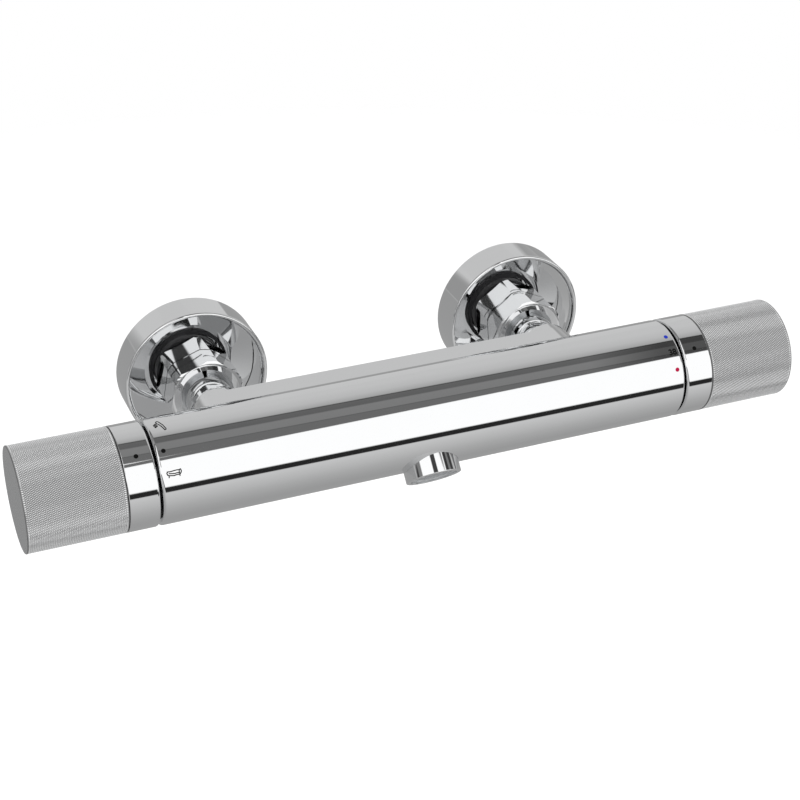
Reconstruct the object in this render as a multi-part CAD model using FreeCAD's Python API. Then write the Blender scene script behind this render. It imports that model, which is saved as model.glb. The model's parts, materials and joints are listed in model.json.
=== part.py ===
import FreeCAD, Part
import math
import os

# Thermostatic bath and shower mixer for a wall: a round bar with a knurled grip at each end, fed
# by two offset unions behind round covers. Millimetres. Every piece is built about the bar's own
# axis (X along the bar, +Y towards the wall, +Z up) and is then moved into the part's frame,
# whose origin is midway between the two wall threads, on the wall's surface.

Vector = FreeCAD.Vector
ALONG = Vector(1, 0, 0)
TO_WALL = Vector(0, 1, 0)
UP = Vector(0, 0, 1)
DOWN = Vector(0, 0, -1)
quarter_turn = 90.0          # degrees

# ---- Clearances ------------------------------------------------------------------------------
slip = 0.05          # radial gap of a turned piece in its bore
thread_gap = 0.15    # radial gap where two threads meet, drawn plain
seat_gap = 0.05      # gap between a moving piece and the seat that it closes on
turn_gap = 0.4       # axial gap between a turning piece and a still one

# ---- Bar and grips ---------------------------------------------------------------------------
bar_radius = 21.2
body_half_length = 113.9
body_edge = 0.5
grip_groove = 0.9            # gap between the body and each turning ring
ring_length = 12.2
ring_joint = 0.15            # dark line between ring and grip
grip_length = 39.3
grip_wall = 2.6
grip_end_wall = 3.0
grip_edge = 0.8
ring_edge = 0.2

# ---- Inlets ----------------------------------------------------------------------------------
inlet_spacing = 150.0        # standard distance between the two supplies
wall_depth = 81.3            # bar axis to wall
union_offset = 7.5           # how far each union steps down from the bar axis to its wall thread
inlet_boss_radius = 12.0
inlet_boss_end = 35.4
inlet_neck_radius = 10.2
inlet_neck_start = 37.6
inlet_collar_radius = 12.9
inlet_collar_length = 3.0
inlet_bore_radius = 8.0
inlet_bore_depth = 22.0
inlet_passage_radius = 6.0

# ---- Rail behind the bar, which carries the hot water across -----------------------------------
rail_half_height = 12.3
rail_back = 31.0
rail_edge = 0.3
hot_channel_radius = 4.0
hot_channel_y = 24.5

# ---- Union nuts ------------------------------------------------------------------------------
nut_across_flats = 30.0
nut_reach = 31.3             # from the wall to the nut's front
nut_length = 24.0
nut_opening_radius = 11.8
nut_lip = 3.0
nut_chamfer_radius = 15.6
nut_chamfer_length = 1.0
nut_groove_at = 11.5
nut_groove_width = 0.6
nut_groove_depth = 0.6
nut_dish_radius = 14.2
nut_dish_depth = 0.8
nut_turn = {"hot": 45.0, "cold": 60.0}     # a corner's angle from straight up, towards -X
ring_thickness = 2.0
washer_thickness = 1.6
washer_bore_radius = 7.0

# ---- Unions and their threads ----------------------------------------------------------------
union_thread_radius = 13.2   # G 3/4
wall_thread_radius = 10.48   # G 1/2
wall_thread_length = 16.0
wall_thread_chamfer = 1.2
wall_relief_radius = 9.4
wall_relief_length = 1.0
union_bore_radius = 8.2
wall_bore_radius = 6.5
union_link_radius = 12.0
union_link_thickness = 2.3

# ---- Round wall covers -----------------------------------------------------------------------
cover_radius = 31.5
cover_reach = 16.25          # from the wall to the lip's front
cover_wall_gap = 0.3
cover_lip = 1.7
cover_wall = 1.3
cover_floor_reach = 3.8      # from the wall to the dish's floor
cover_floor_radius = 18.5
cover_hub_radius = 16.8
cover_hub_reach = 6.9        # from the wall to the hub's front
cover_hub_edge = 0.4
cover_bore_gap = 0.2
cover_seal_width = 2.0
cover_seal_depth = 1.6
cover_seal_setback = 1.3

# ---- Check valves ----------------------------------------------------------------------------
strainer_flange = 0.4
strainer_flange_radius = 11.0
strainer_radius = 6.8
strainer_depth = 6.0
strainer_wall = 0.4
strainer_hole_radius = 0.7
strainer_holes_round = 10
strainer_rows = 2
cage_setback = 0.5
cage_length = 17.0
cage_wall = 1.35
cage_seat_thickness = 2.5
cage_seat_radius = 4.4
cage_foot_thickness = 1.5
cage_foot_holes = 3
cage_foot_hole_radius = 1.6
cage_foot_hole_circle = 4.2
poppet_radius = 5.6
poppet_thickness = 2.0
poppet_stem_radius = 1.5
poppet_travel = 2.5
poppet_spring_radius = 2.7
poppet_spring_wire = 0.32
poppet_spring_turns = 5

# ---- Water ways in the body ------------------------------------------------------------------
chamber_radius = 17.4
thermostat_chamber = 52.0    # inner end of the thermostat's chamber
diverter_depth = 47.9         # from the body's end face to the diverter chamber's floor
mixed_radius = 5.0
outlet_channel_radius = 3.5
outlet_channel_circle = 11.0
shower_port_angle = 47.8     # from +Y towards +Z
bath_port_angle = 136.8
link_radius = 3.0
bath_link_bend = (-14.5, -1.0)
hot_port_x = 62.5
hot_port_radius = 3.6

# ---- Bath outlet -----------------------------------------------------------------------------
spout_tilt = 42.2            # forward of straight down
spout_radius = 11.6
spout_end = 25.7             # from the bar axis
spout_counterbore = 17.3
spout_spigot_radius = 10.0
spout_spigot_length = 2.6
spout_cavity_radius = 8.4
spout_cavity_start = 12.6
aerator_radius = 9.6
aerator_recess = 0.8
aerator_length = 5.6
aerator_seal_thickness = 1.5
aerator_rim = 1.2
aerator_hole = 1.3
aerator_pitch = 1.8
aerator_grid_depth = 1.0

# ---- Hose outlet under the rail --------------------------------------------------------------
hose_y = 20.0
hose_boss_radius = 11.0        # also the seal's and the nipple's flange
hose_boss_rise = 0.3         # how far the boss's face clears the bar beside the hose's seal
hose_spigot_radius = 8.0
hose_spigot_length = 6.5
hose_seal_thickness = 1.5
hose_thread_radius = 10.48   # G 1/2
hose_thread_length = 8.5
hose_thread_chamfer = 0.9
hose_flange_length = 1.0
hose_relief_radius = 9.4
hose_relief_length = 1.0
hose_bore_radius = 5.2
hose_passage_top = 7.0

# ---- Thermostat cartridge, along the bar from its middle ---------------------------------------
sleeve_start = 53.0
sleeve_end_gap = 0.5         # between a cartridge and the nut that clamps it
sleeve_bore_radius = 13.0
sleeve_end_wall = 3.0
sleeve_port_radius = 2.0
sleeve_ports = 8
cold_port_shift = 0.5
seal_wire = 0.95
seal_groove_slack = 0.1
thermostat_seal_places = (58.0, 69.0, 82.5)
piston_start = 65.0
piston_length = 8.0
piston_wall = 1.5
piston_web = 1.6
piston_holes = 6
piston_hole_radius = 1.5
piston_hole_circle = 8.2
wax_bulb_radius = 4.5
wax_bulb_start = 58.2
wax_bulb_length = 12.0
wax_flange_radius = 6.0
wax_flange_length = 3.0
wax_guide_radius = 3.5
wax_guide_length = 9.0
wax_pin_radius = 1.5
wax_pin_length = 3.0
return_spring_radius = 12.0
return_spring_wire = 0.5
return_spring_turns = 4
overload_spring_radius = 5.0
overload_spring_wire = 0.6
overload_spring_turns = 5

# ---- Cartridge nut, spindle and stops, the same at both ends ------------------------------------
cartridge_nut_depth = 16.4   # from the body's end face to the nut's inner face
cartridge_nut_flange = 5.5
cartridge_nut_hex = 3.0
cartridge_nut_flats = 26.0
spindle_seal_radius = 6.5
spindle_seal_length = 2.6
spindle_radius = 4.0
spindle_flange_radius = 6.2
spindle_flange_length = 3.6
stop_ring_gap = 0.3          # between the cartridge nut and the stop ring
stop_ring_length = 5.7
stop_ring_bore = 13.5
stop_lug_inner = 14.2
stop_lug_outer = 17.0
stop_lug_length = 3.2
stop_lug_width = 14.0        # degrees
stop_margin = 2.0            # degrees that the stops leave beyond each end of the travel
lug_rest_angle = 90.0        # where the turning lug stands at rest, from +Y towards +Z
carrier_gap = 2.1            # from the body's end face to the carrier's disc
carrier_disc = 10.0
carrier_floor = 2.0          # left between the spindle's end and the screw's head
carrier_skirt = 14.0
carrier_skirt_wall = 3.0
carrier_hub_radius = 7.0
carrier_hub_length = 8.5
axial_screw_radius = 2.0
axial_screw_head_radius = 3.5
axial_screw_head = 2.8
axial_screw_length = 13.0
axial_screw_socket = 1.25
set_screw_radius = 2.0
set_screw_length = 7.6
set_screw_sink = 0.8
set_screw_socket = 1.0
set_screw_socket_depth = 2.2

# ---- Travel of the two handles, degrees about the bar's axis -----------------------------------
temperature_travel = (-130.0, 50.0)
flow_travel = (-44.0, 44.0)

# ---- Diverter cartridge, along the bar from its middle -----------------------------------------
base_seal_thickness = 1.0
base_plate_thickness = 2.5
disc_radius = 12.9
fixed_disc_thickness = 4.0
moving_disc_thickness = 5.0
moving_disc_pocket = 3.0
drive_plate_radius = 12.5
drive_plate_thickness = 3.0
drive_lug_size = 3.0
drive_lug_circle = 8.5
diverter_shaft_radius = 6.0
diverter_cap = 6.0           # thickness of the housing's outer wall
diverter_seal_inner = 5.5    # from the housing's inner face to its first seal
diverter_seal_outer = 5.0    # from the housing's outer face to its second seal

# ---- Worked out from the sizes above ------------------------------------------------------------
inlet_x = inlet_spacing / 2
hose_boss_end = math.sqrt(bar_radius ** 2 - (hose_y - hose_boss_radius) ** 2) + hose_boss_rise
cartridge_nut_start = body_half_length - cartridge_nut_depth
sleeve_end = cartridge_nut_start - sleeve_end_gap
diverter_cap_start = sleeve_end - diverter_cap
stop_ring_start = cartridge_nut_start + cartridge_nut_flange + cartridge_nut_hex + stop_ring_gap
carrier_start = body_half_length + carrier_gap
spindle_end = carrier_start + carrier_disc - carrier_floor
ring_start = body_half_length + grip_groove
grip_start = ring_start + ring_length + ring_joint
grip_end = grip_start + grip_length
grip_inner = bar_radius - grip_wall
diverter_chamber = body_half_length - diverter_depth
cartridge_radius = chamber_radius - slip
nut_front = wall_depth - nut_reach
nut_rear = nut_front + nut_length
nut_bore_radius = union_thread_radius + thread_gap
collar_start = nut_front + nut_lip + ring_thickness
inlet_end = collar_start + inlet_collar_length
washer_end = inlet_end + washer_thickness
union_front = washer_end + strainer_flange
link_start = wall_depth - union_link_thickness
cover_bore = union_thread_radius + cover_bore_gap
cover_back = wall_depth - cover_wall_gap
cover_front = wall_depth - cover_reach
cover_floor = wall_depth - cover_floor_reach
cover_hub_front = wall_depth - cover_hub_reach
cage_end = inlet_end - cage_setback
cage_start = cage_end - cage_length
cage_radius = inlet_bore_radius - slip
cage_bore = cage_radius - cage_wall
seat_face = cage_end - cage_seat_thickness
poppet_face = seat_face - seat_gap
spring_foot = cage_start + cage_foot_thickness
stop_face = stop_ring_start + stop_ring_length
hose_shoulder = hose_boss_end + hose_seal_thickness
base_plate_start = diverter_chamber + base_seal_thickness
fixed_disc_start = base_plate_start + base_plate_thickness
moving_disc_start = fixed_disc_start + fixed_disc_thickness
drive_plate_start = moving_disc_start + moving_disc_thickness
diverter_seal_places = (fixed_disc_start + diverter_seal_inner, sleeve_end - diverter_seal_outer)
spout_way = Vector(0, -math.sin(math.radians(spout_tilt)), -math.cos(math.radians(spout_tilt)))
to_part_frame = Vector(0, -wall_depth, union_offset)


# ---- Shape helpers ---------------------------------------------------------------------------
def placed(shape, origin, direction):
    """Turn a shape built along +Z so that it runs from origin along direction."""
    shape.Placement = FreeCAD.Placement(origin, FreeCAD.Rotation(UP, direction))
    return shape


def turned(profile, origin, direction):
    """Solid of revolution. Each profile point is (along, radius); an arc is (through, end)."""
    edges = []
    start = profile[0]
    for step in profile[1:] + [profile[0]]:
        if isinstance(step[0], tuple):
            through, end = step
            ends = [Vector(point[1], 0, point[0]) for point in (start, through, end)]
            edges.append(Part.Arc(ends[0], ends[1], ends[2]).toShape())
        else:
            end = step
            line = Part.LineSegment(Vector(start[1], 0, start[0]), Vector(end[1], 0, end[0]))
            edges.append(line.toShape())
        start = end
    face = Part.Face(Part.Wire(edges))
    return placed(face.revolve(Vector(0, 0, 0), UP, 360), origin, direction)


def rod(radius, start, end, origin=Vector(0, 0, 0), direction=ALONG):
    """Round bar between two distances along a direction."""
    return Part.makeCylinder(radius, end - start, origin + direction * start, direction)


def tube(outer, inner, start, end, origin=Vector(0, 0, 0), direction=ALONG):
    """Round tube between two distances along a direction."""
    solid = rod(outer, start, end, origin, direction)
    return solid.cut(rod(inner, start, end, origin, direction))


def rod_between(radius, first, second):
    """Round bar from one point to another."""
    way = second - first
    return Part.makeCylinder(radius, way.Length, first, way)


def hexagon_bar(across_flats, start, end, origin, direction, turn):
    """Six-sided bar, one corner at the given angle about its own direction."""
    corner = across_flats / 2 / math.cos(math.pi / 6)
    points = []
    for index in range(7):
        angle = math.radians(turn + 60 * index)
        points.append(Vector(corner * math.cos(angle), corner * math.sin(angle), start))
    bar = Part.Face(Part.makePolygon(points)).extrude(Vector(0, 0, end - start))
    return placed(bar, origin, direction)


def ring_seal(mean_radius, wire, place, origin=Vector(0, 0, 0), direction=ALONG):
    """Round sealing ring about a direction."""
    return Part.makeTorus(mean_radius, wire, origin + direction * place, direction)


def coil_spring(mean_radius, wire, start, end, turns, origin, direction):
    """Compression spring that fills the space between two faces."""
    height = end - start - 2 * wire
    helix = Part.makeHelix(height / turns, height, mean_radius)
    path = Part.Wire(helix.Edges)
    section = Part.Wire(Part.makeCircle(wire, Vector(mean_radius, 0, 0), TO_WALL))
    coil = Part.Solid(path.makePipeShell([section], True, True))
    return placed(coil, origin + direction * (start + wire), direction)


def holes_round(radius, circle, count, start, end, direction, first_angle=0.0):
    """Holes along a direction through the bar's axis, spaced round a circle."""
    holes = []
    for index in range(count):
        angle = math.radians(first_angle + 360 * index / count)
        foot = Vector(0, circle * math.cos(angle), circle * math.sin(angle))
        holes.append(rod(radius, start, end, foot, direction))
    return holes


def lug(inner, outer, start, length, middle_angle, side):
    """Stop lug: part of a ring, centred on an angle about the bar's axis, from +Y to +Z."""
    ring = tube(outer, inner, start, start + length, Vector(0, 0, 0), ALONG * side)
    reach = 2 * outer
    half = math.radians(stop_lug_width / 2)
    points = [Vector(0, 0, 0)]
    for sign in (-1, 1):
        angle = math.radians(middle_angle) + sign * half
        points.append(Vector(0, reach * math.cos(angle), reach * math.sin(angle)))
    wedge = Part.Face(Part.makePolygon(points + [points[0]]))
    wedge = wedge.extrude(ALONG * side * length)
    wedge.translate(ALONG * side * start)
    return ring.common(wedge)


# ---- Body ------------------------------------------------------------------------------------
def inlet_axis(name):
    """Foot of an inlet's axis on the bar axis: hot is on the left, cold on the right."""
    return Vector(-inlet_x if name == "hot" else inlet_x, 0, 0)


def rail():
    """Flat-backed rail behind the bar, rounded about each inlet."""
    box = Part.makeBox(inlet_spacing, rail_back, 2 * rail_half_height,
                       Vector(-inlet_x, 0, -rail_half_height))
    ends = [rod(rail_half_height, 0, rail_back, inlet_axis(name), TO_WALL) for name in ("hot", "cold")]
    prism = box.fuse(ends).removeSplitter()
    back_edges = [edge for edge in prism.Edges if edge.BoundBox.YMin > rail_back - rail_edge]
    return prism.makeChamfer(rail_edge, back_edges)


def inlet_neck(name):
    """Boss, neck and collar that a union nut pulls against the union."""
    drop = inlet_boss_radius - inlet_neck_radius
    shoulder = inlet_boss_end + (inlet_neck_start - inlet_boss_end) * 0.4
    profile = [(0, 0), (0, inlet_boss_radius), (inlet_boss_end, inlet_boss_radius),
               ((shoulder, inlet_boss_radius - drop * 0.3), (inlet_neck_start, inlet_neck_radius)),
               (collar_start, inlet_neck_radius), (collar_start, inlet_collar_radius),
               (inlet_end, inlet_collar_radius), (inlet_end, 0)]
    return turned(profile, inlet_axis(name), TO_WALL)


def outlet_point(angle):
    """Where an outlet channel lies across the bar, at the middle of its length."""
    turn = math.radians(angle)
    return Vector(0, outlet_channel_circle * math.cos(turn), outlet_channel_circle * math.sin(turn))


def water_ways():
    """Every bore that carries water inside the body."""
    hot = inlet_axis("hot")
    cold = inlet_axis("cold")
    shower = outlet_point(shower_port_angle)
    bath = outlet_point(bath_port_angle)
    bend = Vector(0, bath_link_bend[0], bath_link_bend[1])
    hose_top = Vector(0, hose_y, -hose_passage_top - link_radius)
    hot_turn = Vector(hot_port_x, hot_channel_y, 0)
    ways = [
        rod(mixed_radius, -diverter_chamber, thermostat_chamber),
        rod(hot_channel_radius, -inlet_x, hot_port_x, Vector(0, hot_channel_y, 0)),
        rod_between(hot_port_radius, hot_turn, hot_turn - TO_WALL * (hot_channel_y - mixed_radius)),
        rod(inlet_passage_radius, hot_channel_y, inlet_end, hot, TO_WALL),
        rod(inlet_passage_radius, mixed_radius, inlet_end, cold, TO_WALL),
        rod(outlet_channel_radius, -diverter_chamber, outlet_channel_radius, shower),
        rod(outlet_channel_radius, -diverter_chamber, outlet_channel_radius, bath),
        rod_between(link_radius, shower, hose_top),
        rod_between(link_radius, bath, bend),
        rod_between(link_radius, bend, spout_way * spout_counterbore),
        Part.makeSphere(link_radius, bend),
        rod(hose_bore_radius, hose_passage_top, hose_boss_end, Vector(0, hose_y, 0), DOWN),
    ]
    for inlet in (hot, cold):
        ways.append(rod(inlet_bore_radius, inlet_end - inlet_bore_depth, inlet_end, inlet, TO_WALL))
    return ways


def body_seats():
    """Chambers and counterbores that take the other pieces."""
    hose = Vector(0, hose_y, 0)
    origin = Vector(0, 0, 0)
    spigot_start = spout_counterbore - spout_spigot_length - slip
    return [
        rod(chamber_radius, thermostat_chamber, body_half_length),
        rod(chamber_radius, diverter_chamber, body_half_length, origin, -ALONG),
        rod(spout_radius + slip, spout_counterbore, 2 * bar_radius, origin, spout_way),
        rod(spout_spigot_radius + slip, spigot_start, spout_counterbore, origin, spout_way),
        rod(spout_cavity_radius, spout_cavity_start, spout_counterbore, origin, spout_way),
        rod(hose_spigot_radius + slip, hose_boss_end - hose_spigot_length - slip, hose_boss_end,
            hose, DOWN),
    ]


def valve_body():
    """Chromed brass body: bar, rail, inlets and hose boss, bored for the water and the cartridges."""
    half = body_half_length
    bar = turned([(-half, 0), (-half, bar_radius - body_edge), (body_edge - half, bar_radius),
                  (half - body_edge, bar_radius), (half, bar_radius - body_edge), (half, 0)],
                 Vector(0, 0, 0), ALONG)
    boss = rod(hose_boss_radius, 0, hose_boss_end, Vector(0, hose_y, 0), DOWN)
    solid = bar.fuse([rail(), boss, inlet_neck("hot"), inlet_neck("cold")]).removeSplitter()
    return solid.cut(water_ways() + body_seats())


# ---- Inlet connections -------------------------------------------------------------------------
def union_nut(name):
    """Six-sided union nut with an inner lip, chamfered ends and a groove round its middle."""
    origin = inlet_axis(name)
    corner = nut_across_flats / 2 / math.cos(math.pi / 6)
    blank = hexagon_bar(nut_across_flats, nut_front, nut_rear, origin, TO_WALL,
                        quarter_turn - nut_turn[name])
    slope = nut_chamfer_length * (corner - nut_across_flats / 2) / (corner - nut_chamfer_radius)
    outer = turned([(nut_front, 0), (nut_front, nut_chamfer_radius), (nut_front + slope, corner),
                    (nut_rear - slope, corner), (nut_rear, nut_chamfer_radius), (nut_rear, 0)],
                   origin, TO_WALL)
    groove = nut_front + nut_groove_at
    bottom = nut_across_flats / 2 - nut_groove_depth
    cuts = [
        tube(2 * corner, bottom, groove, groove + nut_groove_width, origin, TO_WALL),
        rod(nut_bore_radius, nut_front + nut_lip, nut_rear, origin, TO_WALL),
        rod(nut_opening_radius, nut_front, nut_front + nut_lip, origin, TO_WALL),
        turned([(nut_front, 0), (nut_front, nut_dish_radius),
                (nut_front + nut_dish_depth, nut_opening_radius), (nut_front + nut_dish_depth, 0)],
               origin, TO_WALL),
    ]
    return blank.common(outer).cut(cuts)


def nut_ring(name):
    """Split ring between the nut's lip and the inlet's collar."""
    origin = inlet_axis(name)
    start = nut_front + nut_lip
    ring = tube(nut_bore_radius - slip, inlet_neck_radius + slip, start, collar_start, origin, TO_WALL)
    split = Part.makeBox(2 * slip + ring_thickness, 2 * ring_thickness, 2 * nut_bore_radius,
                         origin + Vector(-ring_thickness / 2, start - ring_thickness / 2, 0))
    return ring.cut(split)


def filter_washer(name):
    """Flat rubber washer between the inlet and the strainer's flange."""
    return tube(nut_bore_radius - slip, washer_bore_radius, inlet_end, washer_end,
                inlet_axis(name), TO_WALL)


def strainer(name):
    """Thin cup with holes that keeps grit out of the valve."""
    origin = inlet_axis(name)
    tip = union_front + strainer_depth
    inner = strainer_radius - strainer_wall
    cup = turned([(washer_end, inner), (washer_end, strainer_flange_radius),
                  (union_front, strainer_flange_radius), (union_front, strainer_radius),
                  (tip, strainer_radius), (tip, 0), (tip - strainer_wall, 0),
                  (tip - strainer_wall, inner)], origin, TO_WALL)
    holes = []
    for row in range(strainer_rows):
        place = union_front + strainer_depth * (row + 0.7) / (strainer_rows + 0.4)
        for index in range(strainer_holes_round):
            angle = 2 * math.pi * (index + row / 2) / strainer_holes_round
            way = Vector(math.cos(angle), 0, math.sin(angle))
            holes.append(rod(strainer_hole_radius, inner / 2, 2 * inner, origin + TO_WALL * place, way))
    return cup.cut(holes)


def offset_union(name):
    """Offset union: a G 3/4 thread for the nut, a step down, and a G 1/2 thread for the wall."""
    origin = inlet_axis(name)
    low = origin + DOWN * union_offset
    thread_end = wall_depth + wall_thread_length
    front = turned([(union_front, 0), (union_front, union_thread_radius - cover_hub_edge),
                    (union_front + cover_hub_edge, union_thread_radius),
                    (wall_depth, union_thread_radius), (wall_depth, 0)], origin, TO_WALL)
    step = rod(union_link_radius, link_start, wall_depth, low, TO_WALL)
    web = Part.makeBox(2 * union_link_radius, union_link_thickness, union_offset,
                       low + Vector(-union_link_radius, link_start, 0))
    thread_start = wall_depth + wall_relief_length
    stud = turned([(link_start, 0), (link_start, wall_relief_radius),
                   (thread_start, wall_relief_radius), (thread_start, wall_thread_radius),
                   (thread_end - wall_thread_chamfer, wall_thread_radius),
                   (thread_end, wall_thread_radius - wall_thread_chamfer), (thread_end, 0)],
                  low, TO_WALL)
    solid = front.fuse([step, web, stud]).removeSplitter()
    front_bore = rod(union_bore_radius, union_front, wall_depth - union_link_thickness / 2,
                     origin, TO_WALL)
    rear_bore = rod(wall_bore_radius, link_start, thread_end, low, TO_WALL)
    return solid.cut([front_bore, rear_bore])


def wall_cover(name):
    """Round dished cover that hides the wall thread, with a hub round the union."""
    lip_middle = cover_radius - cover_lip / 2
    lip_inner = cover_radius - cover_lip
    floor_back = cover_floor + cover_wall
    middle = (cover_front + cover_floor) / 2
    seal_start = cover_hub_front + cover_seal_setback
    groove = cover_bore + cover_seal_depth
    bulge = (lip_inner + cover_floor_radius) / 2
    profile = [
        (cover_back, cover_radius),
        (cover_front + cover_lip / 2, cover_radius),
        ((cover_front, lip_middle), (cover_front + cover_lip / 2, lip_inner)),
        ((middle + cover_lip / 2, bulge + cover_lip), (cover_floor, cover_floor_radius)),
        (cover_floor, cover_hub_radius),
        (cover_hub_front + cover_hub_edge, cover_hub_radius),
        (cover_hub_front, cover_hub_radius - cover_hub_edge),
        (cover_hub_front, cover_bore),
        (seal_start, cover_bore),
        (seal_start, groove),
        (seal_start + cover_seal_width, groove),
        (seal_start + cover_seal_width, cover_bore),
        (floor_back, cover_bore),
        (floor_back, cover_floor_radius + cover_wall / 2),
        ((middle + cover_lip / 2 + cover_wall, bulge + cover_lip + cover_wall * 0.7),
         (cover_front + cover_lip + cover_wall, cover_radius - cover_wall)),
        (cover_back, cover_radius - cover_wall),
    ]
    return turned(profile, inlet_axis(name), TO_WALL)


def cover_seal(name):
    """Rubber ring in the cover's hub that holds the cover on the union."""
    start = cover_hub_front + cover_seal_setback + slip
    return tube(cover_bore + cover_seal_depth - slip, union_thread_radius, start,
                start + cover_seal_width - 2 * slip, inlet_axis(name), TO_WALL)


def check_valve_cage(name):
    """Plastic cage with the valve's seat at the supply end and a guide at the other."""
    origin = inlet_axis(name)
    cage = turned([(cage_start, poppet_stem_radius + slip), (cage_start, cage_radius),
                   (cage_end, cage_radius), (cage_end, cage_seat_radius),
                   (seat_face, cage_seat_radius), (seat_face, cage_bore), (spring_foot, cage_bore),
                   (spring_foot, poppet_stem_radius + slip)], origin, TO_WALL)
    holes = []
    for index in range(cage_foot_holes):
        angle = 2 * math.pi * index / cage_foot_holes
        foot = origin + Vector(cage_foot_hole_circle * math.cos(angle), 0,
                               cage_foot_hole_circle * math.sin(angle))
        holes.append(rod(cage_foot_hole_radius, cage_start, spring_foot, foot, TO_WALL))
    return cage.cut(holes)


def check_valve_poppet(name):
    """Mushroom-shaped poppet, closed against its seat at rest."""
    tail = cage_start - poppet_travel / 2
    neck = poppet_face - poppet_thickness
    return turned([(tail, 0), (tail, poppet_stem_radius), (neck, poppet_stem_radius),
                   (neck, poppet_radius), (poppet_face, poppet_radius), (poppet_face, 0)],
                  inlet_axis(name), TO_WALL)


def check_valve_spring(name):
    """Light spring between the cage's foot and the poppet's head."""
    head = poppet_face - poppet_thickness
    return coil_spring(poppet_spring_radius, poppet_spring_wire, spring_foot + slip, head - slip,
                       poppet_spring_turns, inlet_axis(name), TO_WALL)


# ---- Outlets ---------------------------------------------------------------------------------
def spout_collar():
    """Short chromed outlet for the bath, let into the front of the bar."""
    origin = Vector(0, 0, 0)
    spigot_start = spout_counterbore - spout_spigot_length
    aerator_seat = spout_end - aerator_recess - aerator_length - aerator_seal_thickness
    collar = turned([(spigot_start, spout_cavity_radius), (spigot_start, spout_spigot_radius),
                     (spout_counterbore, spout_spigot_radius), (spout_counterbore, spout_radius),
                     (spout_end - ring_edge, spout_radius), (spout_end, spout_radius - ring_edge),
                     (spout_end, aerator_radius + slip), (aerator_seat, aerator_radius + slip),
                     (aerator_seat, spout_cavity_radius)], origin, spout_way)
    return collar


def aerator_insert():
    """Plastic aerator with a grid of square holes in its face."""
    face = spout_end - aerator_recess
    cup_bore = aerator_radius - aerator_rim
    body = turned([(face - aerator_length, cup_bore), (face - aerator_length, aerator_radius),
                   (face, aerator_radius), (face, 0), (face - aerator_grid_depth, 0),
                   (face - aerator_grid_depth, cup_bore)], Vector(0, 0, 0), UP)
    reach = int(cup_bore / aerator_pitch)
    holes = []
    for column in range(-reach, reach + 1):
        for row in range(-reach, reach + 1):
            centre = (column * aerator_pitch, row * aerator_pitch)
            if math.hypot(centre[0], centre[1]) + aerator_hole * 0.71 < cup_bore:
                corner = Vector(centre[0] - aerator_hole / 2, centre[1] - aerator_hole / 2,
                                face - 2 * aerator_grid_depth)
                holes.append(Part.makeBox(aerator_hole, aerator_hole, 3 * aerator_grid_depth, corner))
    return placed(body.cut(holes), Vector(0, 0, 0), spout_way)


def aerator_seal():
    """Rubber ring behind the aerator."""
    end = spout_end - aerator_recess - aerator_length
    return tube(aerator_radius, spout_cavity_radius, end - aerator_seal_thickness, end,
                Vector(0, 0, 0), spout_way)


def hose_nipple():
    """G 1/2 outlet for the shower hose, pointing down behind the bar."""
    top = hose_boss_end - hose_spigot_length
    flange_end = hose_shoulder + hose_flange_length
    thread_start = flange_end + hose_relief_length
    end = thread_start + hose_thread_length
    return turned([(top, hose_bore_radius), (top, hose_spigot_radius),
                   (hose_shoulder, hose_spigot_radius), (hose_shoulder, hose_boss_radius),
                   (flange_end, hose_boss_radius), (flange_end, hose_relief_radius),
                   (thread_start, hose_relief_radius), (thread_start, hose_thread_radius),
                   (end - hose_thread_chamfer, hose_thread_radius),
                   (end, hose_thread_radius - hose_thread_chamfer), (end, hose_bore_radius)],
                  Vector(0, hose_y, 0), DOWN)


def hose_seal():
    """Sealing ring between the hose outlet's flange and the body."""
    return tube(hose_boss_radius, hose_spigot_radius + slip, hose_boss_end, hose_shoulder,
                Vector(0, hose_y, 0), DOWN)


# ---- Cartridge pieces that both ends share -----------------------------------------------------
def cartridge_seals(places, side):
    """Sealing rings in the grooves of a cartridge."""
    mean = cartridge_radius - seal_wire
    return Part.makeCompound([ring_seal(mean, seal_wire, side * place) for place in places])


def seal_grooves(places, side):
    """Grooves for those rings."""
    width = 2 * (seal_wire + seal_groove_slack)
    depth = 2 * seal_wire + seal_groove_slack
    grooves = []
    for place in places:
        grooves.append(tube(bar_radius, cartridge_radius - depth, place - width / 2,
                            place + width / 2, Vector(0, 0, 0), ALONG * side))
    return grooves


def cartridge_nut(side):
    """Nut that clamps a cartridge in its chamber, with a six-sided end."""
    way = ALONG * side
    origin = Vector(0, 0, 0)
    flange_end = cartridge_nut_start + cartridge_nut_flange
    end = flange_end + cartridge_nut_hex
    blank = rod(cartridge_radius, cartridge_nut_start, flange_end, origin, way)
    hexagon = hexagon_bar(cartridge_nut_flats, flange_end, end, origin, way, 0)
    return blank.fuse(hexagon).cut([
        rod(spindle_radius + slip, cartridge_nut_start, end, origin, way),
        rod(spindle_seal_radius, cartridge_nut_start, cartridge_nut_start + spindle_seal_length,
            origin, way),
    ])


def spindle_seal(side):
    """Lip seal round a spindle, in the back of the cartridge nut."""
    return tube(spindle_seal_radius - slip, spindle_radius + slip, cartridge_nut_start + slip,
                cartridge_nut_start + spindle_seal_length - slip, Vector(0, 0, 0), ALONG * side)


def screw_hole(side):
    """Threaded hole in a spindle's end for the axial screw."""
    start = carrier_start + carrier_disc - axial_screw_length
    return rod(axial_screw_radius, start - axial_screw_radius, spindle_end, Vector(0, 0, 0),
               ALONG * side)


def stop_lugs(travel, side):
    """The still lugs that end the travel, one for each end."""
    low, high = travel
    reach = stop_lug_width + stop_margin
    lugs = []
    for angle in (lug_rest_angle + low - reach, lug_rest_angle + high + reach):
        lugs.append(lug(stop_lug_inner, stop_lug_outer, stop_face, stop_lug_length, angle, side))
    return lugs


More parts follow.
